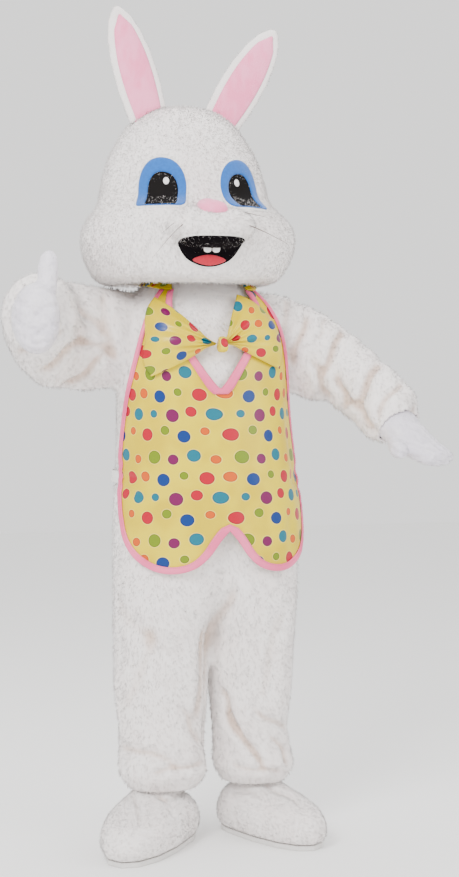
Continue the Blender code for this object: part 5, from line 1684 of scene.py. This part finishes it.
def with_cloth(mesh, flat):
    """Keeps each point's place on the flat cloth for the shader. Points past the list take its last place."""
    values = list(flat) + [flat[-1]] * (len(mesh.vertices) - len(flat))
    layer = mesh.attributes.new("cloth", "FLOAT_VECTOR", "POINT")
    layer.data.foreach_set("vector", np.array(values, np.float32).ravel())


for word, rays, slide in (("right", RIGHT_BOW, 0.030), ("left", LEFT_BOW, 0.085)):
    loops, cloth = bow_loops(rays)
    mesh = tube_mesh(f"bow_{word}", loops)
    with_cloth(mesh, [(x + slide, z + 0.05, 0.0) for line in cloth for x, z, _ in line])
    half = add_piece(f"bow_half_{word}", mesh, dotted_satin, (f"bow_{word}",))
loops, flat = [], []
knot_y = vest_front_y(KNOT_X, KNOT_HEIGHT, BOW_LIFT)
for share in spread(-1, 1, 16):
    loop = []
    for turn in range(48):
        angle = 2 * math.pi * turn / 48
        size = 0.80 + 0.20 * math.sqrt(max(0.0, 1 - share**2))
        size -= 0.035 * math.cos(3 * math.pi * share + 0.6 * math.sin(angle)) ** 2
        x = KNOT_X + 0.0098 * share + 0.0012 * math.sin(angle * 2)
        y = knot_y - 0.017 + 0.016 * size * math.cos(angle)
        loop.append(Vector((x, y, KNOT_HEIGHT + 0.019 * size * math.sin(angle) + FLOOR)))
        flat.append((0.118 + 0.012 * share, 0.012 + 0.019 * angle, 0.0))
    loops.append(loop)
knot_mesh = tube_mesh("knot", loops)
with_cloth(knot_mesh, flat)
knot = add_piece("bow_knot_band", knot_mesh, dotted_satin, ("bow_knot",))


# Gloves
# Pale lavender plush mittens with the fingers marked by soft folds, and a thumb let into each.
# Each wrist is open and runs up inside the sleeve's cuff.
GLOVE_WHITE = (0.80, 0.765, 0.825, 1)
GLOVE_SHADE = (0.72, 0.685, 0.76, 1)
# Painted shade colour for the creases between the fingers.
GLOVE_CREASE_SHADE = (0.50, 0.45, 0.52, 1)
RIGHT_HAND_AXIS = (
    AxisPoint(-0.446, -0.120, -0.060),
    AxisPoint(-0.448, -0.160, -0.059),
    AxisPoint(-0.459, -0.225, -0.064),
    AxisPoint(-0.464, -0.262, -0.065),
)
RIGHT_THUMB_AXIS = (
    AxisPoint(-0.440, -0.235, -0.030),
    AxisPoint(-0.433, -0.236, 0.045),
    AxisPoint(-0.430, -0.232, 0.066),
)
LEFT_HAND_AXIS = (
    AxisPoint(0.400, -0.160, -0.278),
    AxisPoint(0.426, -0.222, -0.326),
    AxisPoint(0.457, -0.280, -0.366),
    AxisPoint(0.474, -0.309, -0.380),
)
LEFT_THUMB_AXIS = (
    AxisPoint(0.404, -0.236, -0.335),
    AxisPoint(0.386, -0.268, -0.350),
    AxisPoint(0.381, -0.300, -0.366),
)
FIST_CREASES = (
    Crease(12, 300, 38, 314, 3.8, 0.0040),
    Crease(38, 314, 64, 302, 3.4, 0.0034),
    Crease(16, 319, 37, 333, 3.4, 0.0034),
    Crease(37, 333, 60, 324, 3.6, 0.0028),
    Crease(20, 338, 40, 344, 3.0, 0.0026),
    Crease(40, 344, 62, 333, 2.8, 0.0022),
    Crease(38, 288, 58, 292, 3.0, 0.0030),
)
HAND_CREASES = (
    Crease(392, 436, 440, 450, 2.8, 0.0034),
    Crease(386, 446, 424, 460, 2.6, 0.0028),
    Crease(404, 426, 448, 438, 2.8, 0.0028),
)


GLOVE_STEP = 0.0036
GLOVE_TUFTS = 5000
Hand = namedtuple("Hand", "word hand_axis thumb_axis creases wrist")
HANDS = (
    Hand("right", RIGHT_HAND_AXIS, RIGHT_THUMB_AXIS, FIST_CREASES,
         Opening((-0.446, -0.1205, -0.060), (0.05, 1.0, 0.0), 0.062)),
    Hand("left", LEFT_HAND_AXIS, LEFT_THUMB_AXIS, HAND_CREASES,
         Opening((0.400, -0.161, -0.279), (-0.33, 0.70, 0.62), 0.062)),
)
glove_plush = plush("glove_plush", GLOVE_WHITE, GLOVE_SHADE, GLOVE_CREASE_SHADE, pile=0.003)
for hand in HANDS:
    nodes = (f"glove_{hand.word}", f"glove_{hand.word}_thumb")
    work = bmesh.new()
    work.from_mesh(closed_copy(outer_faces({nodes[0]: axis_line(hand.hand_axis)})))
    work.from_mesh(closed_copy(outer_faces({nodes[1]: axis_line(hand.thumb_axis)})))
    glove_mesh = remeshed(work, GLOVE_STEP)
    relaxed(glove_mesh, 5)
    pressed(glove_mesh, hand.creases)
    relaxed(glove_mesh, 1, 0.4)
    opened(glove_mesh, (hand.wrist,))
    glove_skin = glove_mesh.copy()
    sewn(f"mitten_{hand.word}", glove_mesh, glove_plush, nodes,
         thick=0.0022, width=0.30)
    pile_on(f"mitten_pile_{hand.word}", glove_skin, glove_plush, GLOVE_TUFTS, length=0.0040, wide=0.0007,
            seed=21, nap=hand.wrist.way)


# Boot covers
# White plush uppers drawn round the ankle under the legs' hems, with soft creases over the instep.
# They are sewn to flat pale rubber soles.
Boot = namedtuple("Boot", "word x y turn")
BOOTS = (Boot("right", -0.116, 0.0069, -32), Boot("left", 0.140, 0.0260, 13))
BOOT_CREASES = (
    Crease(130, 784, 136, 822, 4.0, 0.0060),
    Crease(160, 800, 182, 796, 4.0, 0.0050),
    Crease(150, 790, 170, 812, 4.0, 0.0040),
    Crease(238, 792, 262, 800, 4.0, 0.0050),
    Crease(268, 786, 296, 806, 4.0, 0.0060),
    Crease(252, 806, 286, 822, 5.0, 0.0035),
)
BOOT_STEP = 0.0052
BOOT_TUFTS = 7000
SOLE_TOP = FLOOR + 0.0126
PILE_BOTTOM = FLOOR + 0.016
rubber = speckled("sole_rubber", 0.75, 0.03, (0.62, 0.60, 0.58, 1), (0.70, 0.68, 0.66, 1))
rubber.feed("Normal", rubber.bump(rubber.noise(rubber.own_place(), 0.0008), 0.0003, 0.5))
for boot in BOOTS:
    ankle = Matrix.Translation((boot.x, boot.y, FLOOR)) @ Matrix.Rotation(math.radians(boot.turn), 4, "Z")
    line = [ankle @ Vector((0, y, 0.046)) for y in spread(0.02, -0.19, 30)]
    line += [ankle @ Vector((0, 0, z)) for z in spread(0.046, 0.16, 12)]
    boot_mesh = remeshed(outer_faces({f"boot_{boot.word}": line}), BOOT_STEP)
    relaxed(boot_mesh, 6)
    pressed(boot_mesh, BOOT_CREASES)
    relaxed(boot_mesh, 1, 0.4)
    opened(boot_mesh, (Opening(ankle @ Vector((0, 0, 0.150)), (0, 0, 1), 0.075),))
    points = corners_of(boot_mesh)
    points[:, 2] = np.maximum(points[:, 2], SOLE_TOP)
    place(boot_mesh, points)
    boot_skin = boot_mesh.copy()
    nodes = (f"boot_{boot.word}",)
    sewn(f"boot_upper_{boot.word}", boot_mesh, suit_plush, nodes,
         thick=0.005, width=0.40)
    pile_on(f"boot_pile_{boot.word}", boot_skin, suit_plush, BOOT_TUFTS, length=0.007, wide=0.0010, seed=31,
            nap=ankle.to_3x3() @ Vector((0, -1, -0.4)), keep=lambda root, normal: root[:, 2] > PILE_BOTTOM)
    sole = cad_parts[f"boot_sole_{boot.word}"]
    sole.data.materials.clear()
    sole.data.materials.append(rubber.material)


# Neck band
# A low band of the suit's plush round the neck opening.
# It is sewn into the suit's top edge and hidden by the head's lower edge.
work = bmesh.new()
work.from_mesh(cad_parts["neck_band"].data)
band_mesh = remeshed(work, 0.0030)
relaxed(band_mesh, 3)
band_area = skin_area(band_mesh) / 2
band = add_piece("neck_band_plush", band_mesh, suit_plush, ("neck_band",))
cut_of(band_area, 0.03)


# Back zip
# White tape sewn down the centre back seam, with small metal teeth, a slider and a pull tab.
ZIP_BOTTOM = 0.80
ZIP_TOP = 1.308
ZIP_HALF_WIDTH = 0.014
TOOTH_PITCH = 0.0030


def back_point(x, height, lift):
    """A point on the centre back, x out from the seam."""
    ring = at(SUIT_RINGS, height)
    return Vector((ring.sway + x, ring.y + ring.half_depth + lift, height + FLOOR))


rows, cloth = [], []
for height in spread(ZIP_BOTTOM, ZIP_TOP, 100):
    xs = spread(-ZIP_HALF_WIDTH, ZIP_HALF_WIDTH, 12)
    rows.append([back_point(x, height, 0.0027 + 0.0002 * math.cos(x * 900)) for x in xs])
    cloth.append([(x, height, 0.0) for x in xs])
tape_mesh = grid_mesh("zip_tape", rows, cloth)
if tape_mesh.polygons[0].normal.y < 0:
    tape_mesh.flip_normals()
tape = ribbed("zip_tape", 0.8, 0.0, 300.0, (0.76, 0.74, 0.72, 1), (0.86, 0.84, 0.82, 1), 0.0002, 0.5)
sewn("zip_tape_cloth", tape_mesh, tape, ("zip_tape",),
     thick=0.0016, width=2 * ZIP_HALF_WIDTH)
metal = Surface("zip_metal", Metallic=1.0)
wear = metal.noise(metal.own_place(), 0.004, detail=4)
metal.feed("Base Color", metal.blend(wear, (0.62, 0.62, 0.64, 1), (0.80, 0.80, 0.81, 1)))
metal.feed("Roughness", wear * 0.2 + 0.22)
TOOTH_HALF = (0.0016, 0.0009, 0.00085)
TOOTH_TAPER = 0.6
TOOTH_FACES = ((0, 1, 2, 3), (7, 6, 5, 4), (0, 4, 5, 1), (1, 5, 6, 2), (2, 6, 7, 3), (3, 7, 4, 0))
tooth_corners = []
for up in (-1, 1):
    for x, y in ((-1, -1), (1, -1), (1, 1), (-1, 1)):
        tooth_corners.append((x, y, up * (1 if y < 0 else TOOTH_TAPER)))
teeth_count = round((ZIP_TOP - ZIP_BOTTOM - 0.040) / TOOTH_PITCH)
points, faces = [], []
for height in spread(ZIP_BOTTOM + 0.004, ZIP_TOP - 0.036, teeth_count):
    for side in (-1, 1):
        middle = back_point(side * 0.0012, height + (0.5 * TOOTH_PITCH if side > 0 else 0), 0.0036)
        faces += [[len(points) + corner for corner in face] for face in TOOTH_FACES]
        for corner in tooth_corners:
            points.append(middle + Vector([size * part for size, part in zip(TOOTH_HALF, corner)]))
teeth_mesh = bpy.data.meshes.new("zip_teeth")
teeth_mesh.from_pydata(points, [], faces)
add_piece("zip_teeth", teeth_mesh, metal.material)
teeth_mesh.shade_flat()
for name in ("zip_slider", "zip_slider_lug_a", "zip_slider_lug_b", "zip_pull"):
    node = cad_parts[name]
    node.data.materials.clear()
    node.data.materials.append(metal.material)
